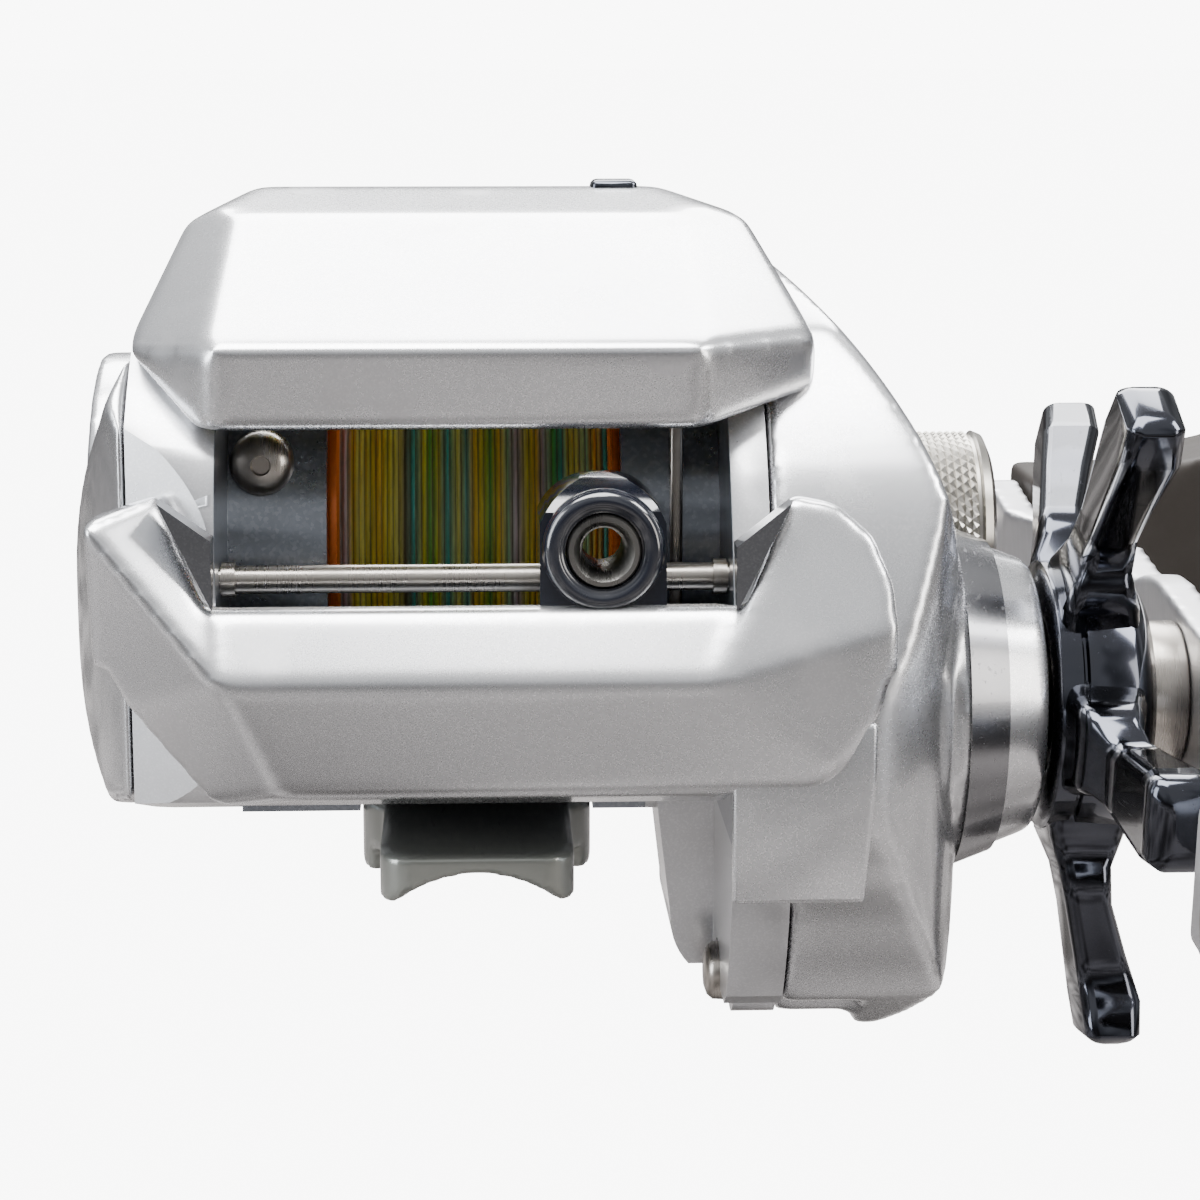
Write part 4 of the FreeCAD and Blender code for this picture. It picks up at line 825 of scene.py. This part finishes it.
# %% Tension knob
knob_out = size_of("tension_knob").y / 2 / MM
ends = [(31.95, 5.7), (31.95, knob_out - 0.5), (32.2, knob_out - 0.1), (32.9, knob_out),
        (33.1, knob_out - 0.35), (33.35, knob_out - 0.35)]
cap = [(37.05, knob_out - 0.35), (37.3, knob_out - 0.35), (37.5, knob_out - 0.05), (38.1, knob_out - 0.3),
       (38.5, knob_out - 1.2), (38.6, knob_out - 2.2), (38.55, 3.0), (38.2, 2.7), (38.2, 0.001)]
barrel = spun(ends + cap + [(37.4, 0.001), (37.4, 5.7)], HEART)
sharpen(finish_piece("tension_barrel", barrel, NICKEL, "tension_knob", ["tension_knob"]), 40)
knurl = bmesh.new()
rows, teeth, knurl_start, knurl_end = 7, 56, 33.35, 37.05
bmesh.ops.create_circle(knurl, cap_ends=False, segments=teeth, radius=(knob_out - 0.3) * MM)
bmesh.ops.rotate(knurl, cent=(0, 0, 0), matrix=Matrix.Rotation(math.pi / 2, 3, "Y"), verts=knurl.verts)
bmesh.ops.translate(knurl, vec=HEART + Vector((knurl_start * MM, 0, 0)), verts=knurl.verts)
ring = knurl.edges[:]
for _ in range(rows):
    added = bmesh.ops.extrude_edge_only(knurl, edges=ring)["geom"]
    fresh = [item for item in added if isinstance(item, bmesh.types.BMVert)]
    edges = [item for item in added if isinstance(item, bmesh.types.BMEdge)]
    ring = [item for item in edges if all(corner in fresh for corner in item.verts)]
    bmesh.ops.translate(knurl, vec=((knurl_end - knurl_start) / rows * MM, 0, 0), verts=fresh)
    bmesh.ops.rotate(knurl, cent=HEART, matrix=Matrix.Rotation(math.pi / teeth, 3, "X"), verts=fresh)
bmesh.ops.recalc_face_normals(knurl, faces=knurl.faces)
bmesh.ops.poke(knurl, faces=knurl.faces[:], offset=0.24 * MM, center_mode="MEAN", use_relative_offset=False)
finish_piece("tension_knurl", knurl, NICKEL, "tension_knob", smooth=False)

# %% [markdown]
# A domed screw sits in the dark ring at the left of the window, and a steel strip beside the spool on the
# right stands in for the highlight along the frame's edge: a painted highlight.  Below, the head of the
# case's lug screw shows from the front, and a low dark stud stands at the back of the hood.

# %% Window details
dome = [(15.6, 0.001), (15.6, 2.2), (17.4, 2.2), (17.9, 1.9), (18.25, 1.3), (18.4, 0.7), (18.1, 0.6),
        (18.1, 0.001)]
ring_screw = spun(dome, spot(-14.6, 0, 7.4), "Y", 48)
sharpen(finish_piece("ring_screw", ring_screw, STEEL, "reel_frame"), 45)
# A painted highlight: a bright steel strip where the frame's edge catches the light.
highlight_strip = carve((13.5, -18.1, -12), (14.4, -16.2, 12.5), [], 0.25)
sharpen(finish_piece("edge_highlight_strip", highlight_strip, STEEL, "reel_frame"))
lug_head = [(16.0, 0.001), (16.0, 1.1), (16.2, 1.7), (16.6, 2.05), (17.5, 2.1), (17.6, 1.8), (18.2, 1.8),
            (18.2, 0.001)]
lug_screw = spun(lug_head, spot(0, -18.4, -28.9), "X", 48)
sharpen(finish_piece("lug_screw_head", lug_screw, STEEL, "reel_frame"), 45)
stud = carve((8.6, -4.2, 24.0), (12.0, -1.2, 26.2), [], 0.5)
sharpen(finish_piece("hood_stud", stud, BLACK_CHROME, "reel_frame"))

# %% [markdown]
# The star drag is cast and plated black.  Its hub is turned, and each of the five arms grows out of it: the
# end face of a small square is extruded, widened and shifted step by step, and a bevel rounds its edges.


# %% Star drag
def grown(steps, place):
    """A limb grown along its own Z: each step is (out, half width, half depth, shift in depth)."""
    shape = bmesh.new()
    out, wide, deep, shift = steps[0]
    bmesh.ops.create_circle(shape, cap_ends=True, segments=4, radius=MM * math.sqrt(2))
    bmesh.ops.rotate(shape, cent=(0, 0, 0), matrix=Matrix.Rotation(math.pi / 4, 3, "Z"), verts=shape.verts)
    bmesh.ops.scale(shape, vec=(wide, deep, 1), verts=shape.verts)
    bmesh.ops.translate(shape, vec=(0, shift * MM, out * MM), verts=shape.verts)
    shape.faces.ensure_lookup_table()
    end = shape.faces[0]
    for far, new_wide, new_deep, new_shift in steps[1:]:
        added = bmesh.ops.extrude_face_region(shape, geom=[end], use_keep_orig=(out == steps[0][0]))["geom"]
        end = [item for item in added if isinstance(item, bmesh.types.BMFace)][0]
        centre = Matrix.Translation((0, -shift * MM, 0))
        bmesh.ops.scale(shape, vec=(new_wide / wide, new_deep / deep, 1), space=centre, verts=end.verts)
        bmesh.ops.translate(shape, vec=(0, (new_shift - shift) * MM, (far - out) * MM), verts=end.verts)
        out, wide, deep, shift = far, new_wide, new_deep, new_shift
    bmesh.ops.transform(shape, matrix=place, verts=shape.verts)
    return shape


arm_steps = [(7.0, 4.6, 2.9, 43.2), (9.8, 3.7, 2.7, 43.2), (12.2, 2.8, 1.9, 43.3), (15.0, 2.5, 1.7, 43.6),
             (18.6, 2.9, 1.9, 44.3), (21.8, 3.3, 2.15, 45.0), (24.2, 3.0, 2.0, 45.2), (25.1, 2.1, 1.4, 45.2)]
AXLE, ARMS, FIRST_ARM = Vector((0, DRIVE.y, DRIVE.z)), 5, 117
for arm in range(ARMS):
    angle = math.radians(FIRST_ARM + 360 / ARMS * arm)
    outward = Vector((0, math.cos(angle), math.sin(angle)))
    across = Vector((0, outward.z, -outward.y))
    columns = Matrix((across, Vector((1, 0, 0)), outward)).transposed().to_4x4()
    place = Matrix.Translation(AXLE) @ columns
    limb = finish_piece(f"star_arm_{arm}", grown(arm_steps, place), BLACK_CHROME, "star_drag")
    edge = limb.modifiers.new("edge", "BEVEL")
    edge.width, edge.segments = 0.95 * MM, 5
    edge.limit_method, edge.angle_limit, edge.use_clamp_overlap = "ANGLE", math.radians(3), True
hub = [(40.0, 4.95), (40.0, 9.3), (40.25, 9.6), (41.7, 9.6), (41.85, 9.35), (42.0, 9.35), (42.15, 9.7),
       (45.2, 9.9), (46.1, 9.3), (46.7, 8.2), (47.25, 7.2), (47.25, 4.95)]
star = finish_piece("star_hub", spun(hub, AXLE), BLACK_CHROME, "star_drag", ["star_drag"])
sharpen(star, 40)
